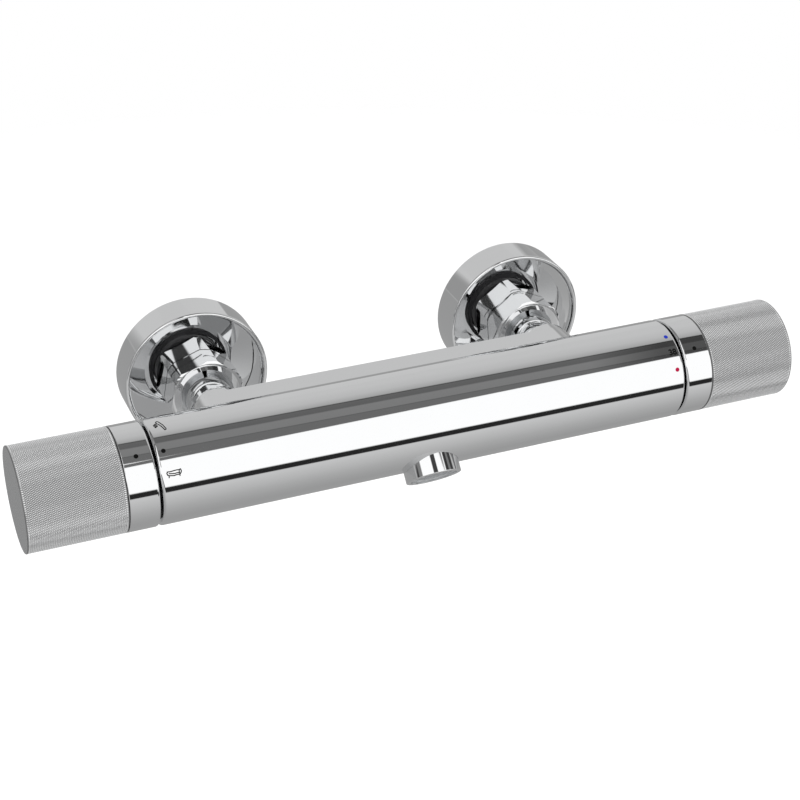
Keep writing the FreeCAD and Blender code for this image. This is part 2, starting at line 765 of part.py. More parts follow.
def stop_ring(travel, side):
    """Ring fixed in the body, whose two lugs end a handle's travel."""
    ring = tube(cartridge_radius, stop_ring_bore, stop_ring_start, stop_face, Vector(0, 0, 0),
                ALONG * side)
    return ring.fuse(stop_lugs(travel, side))


def carrier(side):
    """Hub that turns with the spindle, carries ring and grip, and has the turning stop lug."""
    way = ALONG * side
    origin = Vector(0, 0, 0)
    disc_end = carrier_start + carrier_disc
    radius = grip_inner - slip
    hub_start = carrier_start - carrier_hub_length
    solid = turned([(hub_start, 0), (hub_start, carrier_hub_radius),
                    (carrier_start, carrier_hub_radius), (carrier_start, radius),
                    (disc_end + carrier_skirt, radius),
                    (disc_end + carrier_skirt, radius - carrier_skirt_wall),
                    (disc_end, radius - carrier_skirt_wall), (disc_end, 0)], origin, way)
    lug_start = stop_face + turn_gap
    stop = lug(stop_lug_inner, stop_lug_outer, lug_start, carrier_start - lug_start,
               lug_rest_angle, side)
    set_screw_at = ALONG * side * (ring_start + ring_length / 2)
    return solid.fuse(stop).cut([
        rod(spindle_radius + slip / 2, hub_start, spindle_end + slip, origin, way),
        rod(axial_screw_radius + slip, spindle_end, disc_end, origin, way),
        rod(set_screw_radius, bar_radius - set_screw_sink - set_screw_length - slip, bar_radius,
            set_screw_at, DOWN),
    ])


def axial_screw(side):
    """Socket screw that holds a carrier on its spindle."""
    way = ALONG * side
    origin = Vector(0, 0, 0)
    seat = carrier_start + carrier_disc
    head = seat + axial_screw_head
    screw = turned([(seat - axial_screw_length, 0), (seat - axial_screw_length, axial_screw_radius),
                    (seat, axial_screw_radius), (seat, axial_screw_head_radius),
                    (head, axial_screw_head_radius), (head, 0)], origin, way)
    socket = hexagon_bar(2 * axial_screw_socket, head - axial_screw_head / 2, head, origin, way, 0)
    return screw.cut(socket)


def set_screw(side):
    """Small socket screw under the ring, which pins ring and carrier together."""
    origin = ALONG * side * (ring_start + ring_length / 2)
    end = bar_radius - set_screw_sink
    screw = rod(set_screw_radius, end - set_screw_length, end, origin, DOWN)
    socket = hexagon_bar(2 * set_screw_socket, end - set_screw_socket_depth, end, origin, DOWN, 0)
    return screw.cut(socket)


def handle_ring(side):
    """Smooth chromed ring with the mark, between body and grip."""
    end = ring_start + ring_length
    hole = rod(set_screw_radius + slip, 0, 2 * bar_radius, ALONG * side * (ring_start + ring_length / 2),
               DOWN)
    ring = turned([(ring_start, grip_inner), (ring_start, bar_radius - body_edge),
                   (ring_start + body_edge, bar_radius), (end - ring_edge, bar_radius),
                   (end, bar_radius - ring_edge), (end, grip_inner)], Vector(0, 0, 0), ALONG * side)
    return ring.cut(hole)


def grip(side):
    """Knurled cup that the hand turns, closed at its outer end."""
    floor = grip_end - grip_end_wall
    corner = grip_edge * (1 - math.sqrt(0.5))
    return turned([(grip_start, grip_inner), (grip_start, bar_radius - ring_edge),
                   (grip_start + ring_edge, bar_radius), (grip_end - grip_edge, bar_radius),
                   ((grip_end - corner, bar_radius - corner), (grip_end, bar_radius - grip_edge)),
                   (grip_end, 0), (floor, 0), (floor, grip_inner)], Vector(0, 0, 0), ALONG * side)


# ---- Thermostat ------------------------------------------------------------------------------
def thermostat_sleeve():
    """Sleeve with a row of hot ports and a row of cold ports."""
    sleeve = turned([(sleeve_start, mixed_radius), (sleeve_start, cartridge_radius),
                     (sleeve_end, cartridge_radius), (sleeve_end, sleeve_bore_radius),
                     (sleeve_start + sleeve_end_wall, sleeve_bore_radius),
                     (sleeve_start + sleeve_end_wall, mixed_radius)], Vector(0, 0, 0), ALONG)
    ports = []
    for place in (hot_port_x, inlet_x + cold_port_shift):
        for index in range(sleeve_ports):
            angle = 2 * math.pi * index / sleeve_ports
            way = Vector(0, math.cos(angle), math.sin(angle))
            ports.append(rod(sleeve_port_radius, mixed_radius, bar_radius, ALONG * place, way))
    return sleeve.cut(ports + seal_grooves(thermostat_seal_places, 1))


def regulating_piston():
    """Ring piston that opens the hot ports as it closes the cold ones."""
    radius = sleeve_bore_radius - slip
    end = piston_start + piston_length
    middle = (piston_start + end) / 2
    ring = tube(radius, radius - piston_wall, piston_start, end)
    web = tube(radius - piston_wall / 2, wax_bulb_radius + slip, middle - piston_web / 2,
               middle + piston_web / 2)
    holes = holes_round(piston_hole_radius, piston_hole_circle, piston_holes, piston_start, end, ALONG)
    return ring.fuse(web).cut(holes)


def wax_element():
    """Wax bulb with its flange, guide and pushing pin."""
    flange = wax_bulb_start + wax_bulb_length
    guide = flange + wax_flange_length
    pin = guide + wax_guide_length
    return turned([(wax_bulb_start, 0), (wax_bulb_start, wax_bulb_radius), (flange, wax_bulb_radius),
                   (flange, wax_flange_radius), (guide, wax_flange_radius),
                   (guide, wax_guide_radius), (pin, wax_guide_radius), (pin, wax_pin_radius),
                   (pin + wax_pin_length, wax_pin_radius), (pin + wax_pin_length, 0)],
                  Vector(0, 0, 0), ALONG)


def return_spring():
    """Spring that pushes the piston back from the sleeve's end wall."""
    return coil_spring(return_spring_radius, return_spring_wire,
                       sleeve_start + sleeve_end_wall + slip, piston_start - slip,
                       return_spring_turns, Vector(0, 0, 0), ALONG)


def overload_spring():
    """Spring between the wax element's flange and the temperature spindle."""
    start = wax_bulb_start + wax_bulb_length + wax_flange_length
    end = cartridge_nut_start - spindle_flange_length
    return coil_spring(overload_spring_radius, overload_spring_wire, start + slip, end - slip,
                       overload_spring_turns, Vector(0, 0, 0), ALONG)


def temperature_spindle():
    """Spindle that sets the thermostat, with a flange under the cartridge nut."""
    flange = cartridge_nut_start - spindle_flange_length
    spindle = turned([(flange, 0), (flange, spindle_flange_radius),
                      (cartridge_nut_start - slip, spindle_flange_radius),
                      (cartridge_nut_start - slip, spindle_radius),
                      (spindle_end, spindle_radius), (spindle_end, 0)], Vector(0, 0, 0), ALONG)
    return spindle.cut(screw_hole(1))


# ---- Diverter --------------------------------------------------------------------------------
def diverter_ports(start, end):
    """The mixed-water port and the two outlet ports through a diverter piece."""
    ports = [rod(mixed_radius, start, end, Vector(0, 0, 0), -ALONG)]
    for angle in (shower_port_angle, bath_port_angle):
        ports.append(rod(outlet_channel_radius, start, end, outlet_point(angle), -ALONG))
    return ports


def ported_disc(radius, start, end):
    """Round plate with the three ports."""
    return rod(radius, start, end, Vector(0, 0, 0), -ALONG).cut(diverter_ports(start, end))


def diverter_housing():
    """Housing of the ceramic discs, with the shaft's bearing in its outer wall."""
    housing = turned([(fixed_disc_start, disc_radius + slip), (fixed_disc_start, cartridge_radius),
                      (sleeve_end, cartridge_radius), (sleeve_end, diverter_shaft_radius + slip),
                      (diverter_cap_start, diverter_shaft_radius + slip),
                      (diverter_cap_start, disc_radius + slip)], Vector(0, 0, 0), -ALONG)
    return housing.cut(seal_grooves(diverter_seal_places, -1))


def moving_disc():
    """Ceramic disc whose pocket joins the mixed-water port to one outlet port."""
    end = moving_disc_start + moving_disc_thickness
    disc = rod(disc_radius, moving_disc_start, end, Vector(0, 0, 0), -ALONG)
    pocket_end = moving_disc_start + moving_disc_pocket
    centre = rod(mixed_radius, moving_disc_start, pocket_end, Vector(0, 0, 0), -ALONG)
    middle = (shower_port_angle + bath_port_angle) / 2
    tip = rod(outlet_channel_radius, moving_disc_start, pocket_end, outlet_point(middle), -ALONG)
    slot = Part.makeBox(moving_disc_pocket, outlet_channel_circle, 2 * outlet_channel_radius,
                        Vector(-pocket_end, 0, -outlet_channel_radius))
    slot.rotate(Vector(0, 0, 0), ALONG, middle)
    return disc.cut([centre, tip, slot] + drive_lugs(slip))


def drive_lugs(extra):
    """Two square lugs by which the shaft turns the moving disc."""
    size = drive_lug_size + 2 * extra
    depth = drive_lug_size / 2 + extra
    lugs = []
    for sign in (-1, 1):
        corner = Vector(-drive_plate_start, sign * drive_lug_circle - size / 2, -size / 2)
        lugs.append(Part.makeBox(depth, size, size, corner))
    return lugs


def diverter_spindle():
    """Shaft with its drive plate, which turns the moving disc."""
    plate = drive_plate_start + slip
    shaft_start = plate + drive_plate_thickness
    shoulder = cartridge_nut_start - slip
    shaft = turned([(plate, 0), (plate, drive_plate_radius), (shaft_start, drive_plate_radius),
                    (shaft_start, diverter_shaft_radius), (shoulder, diverter_shaft_radius),
                    (shoulder, spindle_radius), (spindle_end, spindle_radius), (spindle_end, 0)],
                   Vector(0, 0, 0), -ALONG)
    lugs = []
    for solid in drive_lugs(0.0):
        box = solid.BoundBox
        lugs.append(Part.makeBox(box.XLength + slip, box.YLength, box.ZLength,
                                 Vector(box.XMin - slip, box.YMin, box.ZMin)))
    return shaft.fuse(lugs).cut(screw_hole(-1))


# ---- The whole assembly ----------------------------------------------------------------------
def inlet_pieces(name):
    """Every piece of one supply connection."""
    return {
        name + "_union_nut": union_nut(name),
        name + "_nut_ring": nut_ring(name),
        name + "_filter_washer": filter_washer(name),
        name + "_strainer": strainer(name),
        name + "_offset_union": offset_union(name),
        name + "_wall_cover": wall_cover(name),
        name + "_cover_seal": cover_seal(name),
        name + "_check_valve_cage": check_valve_cage(name),
        name + "_check_valve_poppet": check_valve_poppet(name),
        name + "_check_valve_spring": check_valve_spring(name),
    }


def handle_pieces(name, travel, side):
    """The pieces that the temperature end and the flow end share."""
    return {
        name + "_cartridge_nut": cartridge_nut(side),
        name + "_spindle_seal": spindle_seal(side),
        name + "_stop_ring": stop_ring(travel, side),
        name + "_carrier": carrier(side),
        name + "_axial_screw": axial_screw(side),
        name + "_set_screw": set_screw(side),
        name + "_ring": handle_ring(side),
        name + "_grip": grip(side),
    }


def all_pieces():
    """Every piece of the mixer, by name, about the bar's axis."""
    origin = Vector(0, 0, 0)
    pieces = {
        "valve_body": valve_body(),
        "spout_collar": spout_collar(),
        "aerator_insert": aerator_insert(),
        "aerator_seal": aerator_seal(),
        "hose_nipple": hose_nipple(),
        "hose_seal": hose_seal(),
        "thermostat_sleeve": thermostat_sleeve(),
        "thermostat_seals": cartridge_seals(thermostat_seal_places, 1),
        "regulating_piston": regulating_piston(),
        "wax_element": wax_element(),
        "return_spring": return_spring(),
        "overload_spring": overload_spring(),
        "temperature_spindle": temperature_spindle(),
        "diverter_base_seal": ported_disc(cartridge_radius, diverter_chamber, base_plate_start),
        "diverter_base_plate": ported_disc(cartridge_radius, base_plate_start, fixed_disc_start),
        "diverter_fixed_disc": ported_disc(disc_radius, fixed_disc_start, moving_disc_start),
        "diverter_moving_disc": moving_disc(),
        "diverter_housing": diverter_housing(),
        "diverter_seals": cartridge_seals(diverter_seal_places, -1),
        "diverter_spindle": diverter_spindle(),
    }
    for name in ("hot", "cold"):
        pieces.update(inlet_pieces(name))
    pieces.update(handle_pieces("temperature", temperature_travel, 1))
    pieces.update(handle_pieces("flow", flow_travel, -1))
    return pieces


def export(pieces):
    """Move each piece into the part's frame and write it under its own name."""
    os.makedirs("parts", exist_ok=True)
    for name, shape in pieces.items():
        shape.translate(to_part_frame)
        shape.exportStep("parts/" + name + ".step")
        solids = len(shape.Solids)
        print(f"{name}: {solids} solid(s), valid {shape.isValid()}, {shape.Volume / 1000:.3f} cm3")


export(all_pieces())
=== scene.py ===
import json
import logging
import math
from dataclasses import dataclass, field
from enum import Enum
from typing import Callable, Iterable, Sequence

import bmesh
import bpy
from mathutils import Matrix, Vector


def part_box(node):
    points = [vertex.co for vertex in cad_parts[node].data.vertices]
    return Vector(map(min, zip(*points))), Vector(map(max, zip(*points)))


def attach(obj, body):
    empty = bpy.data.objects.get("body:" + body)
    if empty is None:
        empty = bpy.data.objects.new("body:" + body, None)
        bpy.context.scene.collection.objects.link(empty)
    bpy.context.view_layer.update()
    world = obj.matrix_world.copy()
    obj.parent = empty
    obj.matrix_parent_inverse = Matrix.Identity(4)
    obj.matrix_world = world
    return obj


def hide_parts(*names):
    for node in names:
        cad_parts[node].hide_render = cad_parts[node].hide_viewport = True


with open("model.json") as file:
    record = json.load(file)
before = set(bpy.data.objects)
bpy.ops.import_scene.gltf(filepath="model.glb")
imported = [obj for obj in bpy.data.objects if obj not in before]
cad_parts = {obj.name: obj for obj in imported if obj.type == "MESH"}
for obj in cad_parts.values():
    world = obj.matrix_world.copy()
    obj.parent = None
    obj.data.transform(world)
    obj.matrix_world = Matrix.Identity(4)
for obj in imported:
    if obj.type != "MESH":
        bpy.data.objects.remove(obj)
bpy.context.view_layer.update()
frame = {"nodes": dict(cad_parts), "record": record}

MM = 0.001
UP = Vector((0.0, 0.0, 1.0))
ALONG = Vector((1.0, 0.0, 0.0))
TO_WALL = Vector((0.0, 1.0, 0.0))
ROUND_STEPS = 256
ROUNDING_STEPS = 4
SHARP_ANGLE = math.radians(28.0)
FACET_ANGLE = math.radians(12.0)
FACE_WEIGHT = 90
SAME_POINT = 1e-7
SAME_PLACE = 1e-6
FLAT_ANGLE = 0.002
THREAD_RADIUS = 10.48 * MM
THREAD_CORE = 9.4 * MM
THREAD_PITCH = 1.814 * MM
THREAD_CREST = (0.42, 0.58)
THREAD_SUNK = 0.1 * MM
RELIEF_FINENESS = 3.0
RELIEF_STRENGTH = 0.35
# Name of the mark on a knurl's crests, which steers the painted shade in the grooves between them.
CREST = "crest"

log = logging.getLogger("shower_valve")

Point = tuple[float, ...]
Colour = tuple[float, float, float, float]
BLACK: Colour = (0.0, 0.0, 0.0, 1.0)
WHITE: Colour = (1.0, 1.0, 1.0, 1.0)


# Shader maths
def operator(operation: str, swapped: bool = False) -> Callable[["Signal", object], "Signal"]:
    """One of Python's arithmetic operators as a Math node.

    Args:
        operation: the Math node's operation.
        swapped: whether the signal stands on the operator's right.

    Returns:
        The method.
    """
    def method(signal: "Signal", other: object) -> "Signal":
        """Combine the signal with a value or another signal."""
        first, second = (other, signal) if swapped else (signal, other)
        return signal.maths(operation, first, second)
    return method


class Signal:
    """One socket of a node tree, for shader maths written as Python expressions."""

    __add__ = operator("ADD")
    __radd__ = operator("ADD", swapped=True)
    __sub__ = operator("SUBTRACT")
    __rsub__ = operator("SUBTRACT", swapped=True)
    __mul__ = operator("MULTIPLY")
    __truediv__ = operator("DIVIDE")

    def __init__(self, graph: "Graph", socket: bpy.types.NodeSocket) -> None:
        """Keep the socket and the graph that it belongs to."""
        self.graph = graph
        self.socket = socket

    def maths(self, operation: str, first: object, second: object) -> "Signal":
        """Add a Math node.

        Args:
            operation: the Math node's operation.
            first: the left value or signal.
            second: the right value or signal.

        Returns:
            The node's result.
        """
        return self.graph.add("ShaderNodeMath", {"operation": operation}, {0: first, 1: second})

    def above(self, limit: float) -> "Signal":
        """One where the signal is above a limit, else zero."""
        return self.maths("GREATER_THAN", self, limit)

    def within(self, span: tuple[float, float]) -> "Signal":
        """One where the signal lies between two limits, else zero."""
        return self.above(span[0]) * (span[1] - self).above(0.0)

    def outside(self, span: tuple[float, float]) -> "Signal":
        """One where the signal lies below or above two limits, else zero."""
        return (span[0] - self).above(0.0) + self.above(span[1])


class Graph:
    """A node tree, emptied first, with one method that adds any node."""

    def __init__(self, tree: bpy.types.NodeTree) -> None:
        """Empty the tree."""
        tree.nodes.clear()
        self.tree = tree

    def add(self, kind: str, settings: dict[str, object] | None = None,
            sockets: dict[object, object] | None = None, output: int | str = 0) -> Signal:
        """Add a node, set it up and feed its sockets.

        Args:
            kind: the node's type.
            settings: the node's own settings; "stops" gives a colour ramp's stops.
            sockets: values or signals by socket name or number.
            output: the output to hand back.

        Returns:
            The chosen output, or the node's first input if it has no outputs.
        """
        node = self.tree.nodes.new(kind)
        for name, value in (settings or {}).items():
            if name == "stops":
                self._set_stops(node.color_ramp, value)
            else:
                setattr(node, name, value)
        for name, value in (sockets or {}).items():
            if isinstance(value, Signal):
                self.tree.links.new(value.socket, node.inputs[name])
            else:
                node.inputs[name].default_value = value
        return Signal(self, node.outputs[output] if len(node.outputs) else node.inputs[0])

    @staticmethod
    def _set_stops(ramp: bpy.types.ColorRamp, stops: Sequence[tuple[float, Colour]]) -> None:
        """Give a colour ramp its stops.

        Args:
            ramp: the ramp.
            stops: (place from 0 to 1, colour) pairs in rising order.
        """
        while len(ramp.elements) > 1:
            ramp.elements.remove(ramp.elements[-1])
        ramp.elements[0].position, ramp.elements[0].color = stops[0]
        for place, colour in stops[1:]:
            ramp.elements.new(place).color = colour

    def noise(self, scale: float, detail: float = 3.0, stretch: Point = (1.0, 1.0, 1.0)) -> Signal:
        """Noise in object space, in metres.

        Args:
            scale: lumps per metre.
            detail: octaves.
            stretch: extra scale along each axis.

        Returns:
            The noise, about 0.5 on average.
        """
        place = self.add("ShaderNodeTexCoord", output="Object")
        place = self.add("ShaderNodeMapping", {}, {"Vector": place, "Scale": stretch})
        return self.add("ShaderNodeTexNoise", {}, {"Vector": place, "Scale": scale, "Detail": detail})

    def blend(self, factor: Signal, first: Colour | Signal, second: Colour | Signal) -> Signal:
        """Mix two colours.

        Args:
            factor: 0 for the first colour, 1 for the second.
            first: a colour or a signal that carries one.
            second: another.

        Returns:
            The mixed colour.
        """
        return self.add("ShaderNodeMix", {"data_type": "RGBA"},
                        {"Factor": factor, "A": first, "B": second}, output="Result")


def linear(level: float) -> float:
    """Linear light for a display level from 0 to 255, by the sRGB curve."""
    share = level / 255.0
    return share / 12.92 if share <= 0.04045 else ((share + 0.055) / 1.055) ** 2.4


def grey(level: float, strength: float = 1.0) -> Colour:
    """A neutral colour for a display level from 0 to 255."""
    value = linear(level) * strength
    return (value, value, value, 1.0)


def shade(colour: Colour, factor: float) -> Colour:
    """A colour made lighter or darker by a factor."""
    return (colour[0] * factor, colour[1] * factor, colour[2] * factor, 1.0)


# Finishes
@dataclass(frozen=True)
class Finish:
    """A surface finish whose colour, gloss and fine relief vary a little over the piece; a knurl's
    grooves can be painted darker as shade.

    Attributes:
        spread: share by which the colour varies.
        lump: noise lumps per metre.
        relief: depth of the fine relief, in metres.
        painted_valley_shade: painted shade between a knurl's crests: the share of the colour's light
            that is left there.
    """

    name: str
    slot: str
    colour: Colour
    metallic: float
    roughness: tuple[float, float]
    spread: float
    lump: float
    relief: float = 0.0
    stretch: Point = (1.0, 1.0, 1.0)
    specular: float = 0.5
    painted_valley_shade: float = 1.0

    def material(self) -> bpy.types.Material:
        """The finish as a material, made once.

        Returns:
            The material.
        """
        found = bpy.data.materials.get(self.name)
        if found:
            return found
        made = bpy.data.materials.new(self.name)
        made.use_nodes = True
        graph = Graph(made.node_tree)
        noise = graph.noise(self.lump, stretch=self.stretch)
        low, high = self.roughness
        tone_and_painted_shade = noise
        dark = shade(self.colour, 1.0 - self.spread)
        light = shade(self.colour, 1.0 + self.spread)
        # Painted shade: the crest marks turn the colour darker in the grooves between a knurl's crests.
        if self.painted_valley_shade < 1.0:
            tone_and_painted_shade = graph.add("ShaderNodeAttribute", {"attribute_name": CREST}, output="Fac")
            dark = shade(self.colour, self.painted_valley_shade)
        sockets: dict[object, object] = {
            "Base Color": graph.blend(tone_and_painted_shade, dark, light),
            "Metallic": self.metallic,
            "Roughness": noise * (high - low) + low,
            "Specular IOR Level": self.specular,
        }
        if self.relief:
            height = graph.noise(self.lump * RELIEF_FINENESS, detail=2.0, stretch=self.stretch)
            sockets["Normal"] = graph.add("ShaderNodeBump", {}, {
                "Height": height, "Strength": RELIEF_STRENGTH, "Distance": self.relief})
        surface = graph.add("ShaderNodeBsdfPrincipled", {}, sockets)
        graph.add("ShaderNodeOutputMaterial", {}, {"Surface": surface})
        return made


CHROME = Finish("polished_chrome", "chrome", (0.84, 0.845, 0.85, 1.0), 1.0, (0.03, 0.05), 0.01, 60.0)
# The knurl's grooves are painted darker, as shade between its crests.
KNURL = Finish("satin_knurl", "grip_metal", (0.95, 0.955, 0.96, 1.0), 0.45, (0.16, 0.22), 0.05, 900.0,
               painted_valley_shade=0.15)
GRIP_END = Finish("satin_grip_end", "grip_metal", (0.52, 0.525, 0.53, 1.0), 1.0, (0.24, 0.32), 0.03,
                  500.0, 0.00001)
BRASS = Finish("turned_brass", "brass", (0.72, 0.55, 0.29, 1.0), 1.0, (0.22, 0.36), 0.08, 700.0,
               0.00001)
RUBBER = Finish("black_rubber", "rubber", (0.022, 0.022, 0.024, 1.0), 0.0, (0.5, 0.7), 0.15, 900.0,
                0.00002)
AERATOR = Finish("grey_aerator", "aerator_plastic", (0.36, 0.37, 0.38, 1.0), 0.0, (0.35, 0.5), 0.06,
                 600.0, 0.00001)
BLACK_PLASTIC = Finish("black_moulding", "cartridge_plastic", (0.03, 0.03, 0.033, 1.0), 0.0,
                       (0.38, 0.55), 0.12, 800.0, 0.00001)
WHITE_PLASTIC = Finish("white_moulding", "valve_plastic", (0.78, 0.78, 0.76, 1.0), 0.0, (0.3, 0.45),
                       0.03, 500.0, 0.00001)
STEEL = Finish("stainless_steel", "steel", (0.60, 0.61, 0.62, 1.0), 1.0, (0.22, 0.38), 0.06, 900.0,
               0.00001, (1.0, 4.0, 4.0))
CERAMIC = Finish("ground_ceramic", "ceramic", (0.82, 0.81, 0.78, 1.0), 0.0, (0.12, 0.22), 0.02, 300.0)
BLACK_INK = Finish("black_ink", "cartridge_plastic", (0.004, 0.004, 0.004, 1.0), 0.0, (0.6, 0.7), 0.2,
                   2000.0, specular=0.05)
BLUE_INK = Finish("blue_ink", "cartridge_plastic", (0.015, 0.03, 0.33, 1.0), 0.0, (0.6, 0.7), 0.1,
                  2000.0, specular=0.05)
RED_INK = Finish("red_ink", "cartridge_plastic", (0.36, 0.006, 0.045, 1.0), 0.0, (0.6, 0.7), 0.1,
                 2000.0, specular=0.05)
NODE_FINISHES = {finish.slot: finish for finish in (CHROME, KNURL, BRASS, RUBBER, AERATOR,
                                                    BLACK_PLASTIC, WHITE_PLASTIC, STEEL, CERAMIC)}


# Mesh helpers
class Rounding(Enum):
    """What a rounding is applied to."""

    EDGES = "EDGES"
    CORNERS = "VERTICES"


def round_off(mesh: bmesh.types.BMesh, items: Sequence[bmesh.types.BMEdge | bmesh.types.BMVert],
              radius: float, kind: Rounding = Rounding.EDGES, segments: int = ROUNDING_STEPS) -> None:
    """Round edges of a solid, or corners of an outline.

    Args:
        mesh: the shape.
        items: its edges or corners to round.
        radius: how far the rounding reaches.
        kind: which of the two they are.
        segments: facets across the rounding.
    """
    bmesh.ops.bevel(mesh, geom=items, offset=radius, offset_type="OFFSET", segments=segments,
                    profile=0.5, affect=kind.value, material=-1)


@dataclass(frozen=True)
class Axis:
    """A line about which shapes are turned; places along it are measured from its origin."""

    origin: Vector
    direction: Vector

    def placing(self) -> Matrix:
        """The move that takes a shape built along +Z onto this axis."""
        turn = UP.rotation_difference(self.direction).to_matrix().to_4x4()
        return Matrix.Translation(self.origin) @ turn

    def lathe(self, profile: Sequence[Point], steps: int = ROUND_STEPS,
              shift: float = 0.0) -> bmesh.types.BMesh:
        """Spin a closed profile.

        Args:
            profile: (along, radius) or (along, radius, rounding) points, in metres.
            steps: facets round the axis.
            shift: share of a facet by which the whole shape is turned.

        Returns:
            The turned solid.
        """
        mesh = bmesh.new()
        corners = [mesh.verts.new((point[1], 0.0, point[0])) for point in profile]
        for first, second in zip(corners, corners[1:] + corners[:1]):
            mesh.edges.new((first, second))
        for corner, point in zip(corners, profile):
            if len(point) > 2:
                round_off(mesh, [corner], point[2], Rounding.CORNERS)
        for edge in [e for e in mesh.edges if max(v.co.x for v in e.verts) < SAME_POINT / 2]:
            mesh.edges.remove(edge)
        bmesh.ops.spin(mesh, geom=mesh.verts[:] + mesh.edges[:], cent=(0, 0, 0), axis=UP,
                       angle=math.tau, steps=steps, use_merge=True)
        bmesh.ops.remove_doubles(mesh, verts=mesh.verts[:], dist=SAME_POINT)
        bmesh.ops.recalc_face_normals(mesh, faces=mesh.faces[:])
        turn = Matrix.Rotation(math.tau * shift / steps, 4, UP)
        bmesh.ops.transform(mesh, matrix=self.placing() @ turn, verts=mesh.verts[:])
        return mesh

    def rod(self, radius: float, start: float, end: float, rounding: float = 0.0,
            shift: float = 0.0) -> bmesh.types.BMesh:
        """A plain round bar, for joining.

        Args:
            radius: its radius.
            start: where it starts.
            end: where it ends.
            rounding: radius of its far edge.
            shift: share of a facet by which it is turned.

        Returns:
            The bar.
        """
        far = (end, radius, rounding) if rounding else (end, radius)
        return self.lathe([(start, 0.0), (start, radius), far, (end, 0.0)], shift=shift)

    def bore(self, radius: float, start: float, end: float) -> bmesh.types.BMesh:
        """A round hole's core, turned so that its corners miss those of the bars about it.

        Args:
            radius: its radius.
            start: where it starts.
            end: where it ends.

        Returns:
            The core.
        """
        return self.rod(radius, start, end, shift=0.5)

    def thread(self, start: float, end: float, steps: int = 48) -> bmesh.types.BMesh:
        """The ridge of the G 1/2 thread, sunk a little into its core.

        Args:
            start: where the thread starts.
            end: where it ends.
            steps: facets in one turn.

        Returns:
            The ridge, closed at both ends.
        """
        turns = (end - start) / THREAD_PITCH - 1.0
        sunk = THREAD_CORE - THREAD_SUNK
        mesh = bmesh.new()
        tooth = [mesh.verts.new(place) for place in (
            (sunk, 0.0, start), (THREAD_RADIUS, 0.0, start + THREAD_PITCH * THREAD_CREST[0]),
            (THREAD_RADIUS, 0.0, start + THREAD_PITCH * THREAD_CREST[1]),
            (sunk, 0.0, start + THREAD_PITCH))]
        section = mesh.faces.new(tooth)
        count = max(1, round(turns * steps))
        bmesh.ops.spin(mesh, geom=tooth + section.edges[:] + [section], cent=(0, 0, 0), axis=UP,
                       dvec=UP * (turns * THREAD_PITCH / count), angle=math.tau * turns,
                       steps=count, use_merge=False)
        bmesh.ops.recalc_face_normals(mesh, faces=mesh.faces[:])
        bmesh.ops.transform(mesh, matrix=self.placing(), verts=mesh.verts[:])
        return mesh

    def hexagon(self, across_flats: float, start: float, end: float, turn: float,
                rounding: float) -> bmesh.types.BMesh:
        """A six-sided bar with slightly rounded corners.

        Args:
            across_flats: its width.
            start: where it starts.
            end: where it ends.
            turn: angle of one corner about the axis, from the shape's own +Y, in radians.
            rounding: radius of its long edges.

        Returns:
            The bar.
        """
        mesh = bmesh.new()
        made = bmesh.ops.create_circle(mesh, cap_ends=True, segments=6,
                                       radius=across_flats / 2 / math.cos(math.pi / 6))
        bmesh.ops.rotate(mesh, verts=made["verts"], cent=(0, 0, 0),
                         matrix=Matrix.Rotation(turn, 3, "Z"))
        bmesh.ops.translate(mesh, verts=made["verts"], vec=UP * start)
        body = bmesh.ops.extrude_face_region(mesh, geom=mesh.faces[:])
        tops = [item for item in body["geom"] if isinstance(item, bmesh.types.BMVert)]
        bmesh.ops.translate(mesh, verts=tops, vec=UP * (end - start))
        bmesh.ops.recalc_face_normals(mesh, faces=mesh.faces[:])
        long_edges = [e for e in mesh.edges
                      if abs(e.verts[0].co.z - e.verts[1].co.z) > (end - start) / 2]
        round_off(mesh, long_edges, rounding)
        bmesh.ops.transform(mesh, matrix=self.placing(), verts=mesh.verts[:])
        return mesh


@dataclass(frozen=True)
class RoundFace:
    """A true cylinder among a piece's faces, whose normals are set exactly.

    Attributes:
        slack: how far off the cylinder a corner may lie.
        likeness: least cosine between the face's normal and the cylinder's.
    """

    axis: Axis
    radius: float
    slack: float = 0.004 * MM
    likeness: float = 0.995

    def normal(self, place: Vector, facing: Vector) -> Vector | None:
        """The cylinder's normal at a corner of a face, if the face lies on it.

        Args:
            place: the corner.
            facing: the face's own normal.

        Returns:
            The exact normal, or None if the face isn't part of this cylinder.
        """
        spoke = place - self.axis.origin
        spoke -= self.axis.direction * spoke.dot(self.axis.direction)
        if abs(spoke.length - self.radius) > self.slack:
            return None
        spoke.normalize()
        return spoke if spoke.dot(facing) > self.likeness else None


def arc(start: Point, through: Point, end: Point, steps: int = 14) -> list[Point]:
    """Points of a circular arc, without its start.

    Args:
        start: first point.
        through: a point on the way.
        end: last point.
        steps: how many points.

    Returns:
        The points after the start, the end among them.
    """
    (ax, ay), (bx, by), (cx, cy) = start, through, end
    twice = 2.0 * (ax * (by - cy) + bx * (cy - ay) + cx * (ay - by))
    sa, sb, sc = ax * ax + ay * ay, bx * bx + by * by, cx * cx + cy * cy
    ox = (sa * (by - cy) + sb * (cy - ay) + sc * (ay - by)) / twice
    oy = (sa * (cx - bx) + sb * (ax - cx) + sc * (bx - ax)) / twice
    radius = math.hypot(ax - ox, ay - oy)
    first, middle, last = (math.atan2(y - oy, x - ox) for x, y in (start, through, end))
    sweep = (last - first) % math.tau
    if (middle - first) % math.tau > sweep:
        sweep -= math.tau
    angles = [first + sweep * step / steps for step in range(1, steps + 1)]
    return [(ox + radius * math.cos(a), oy + radius * math.sin(a)) for a in angles]


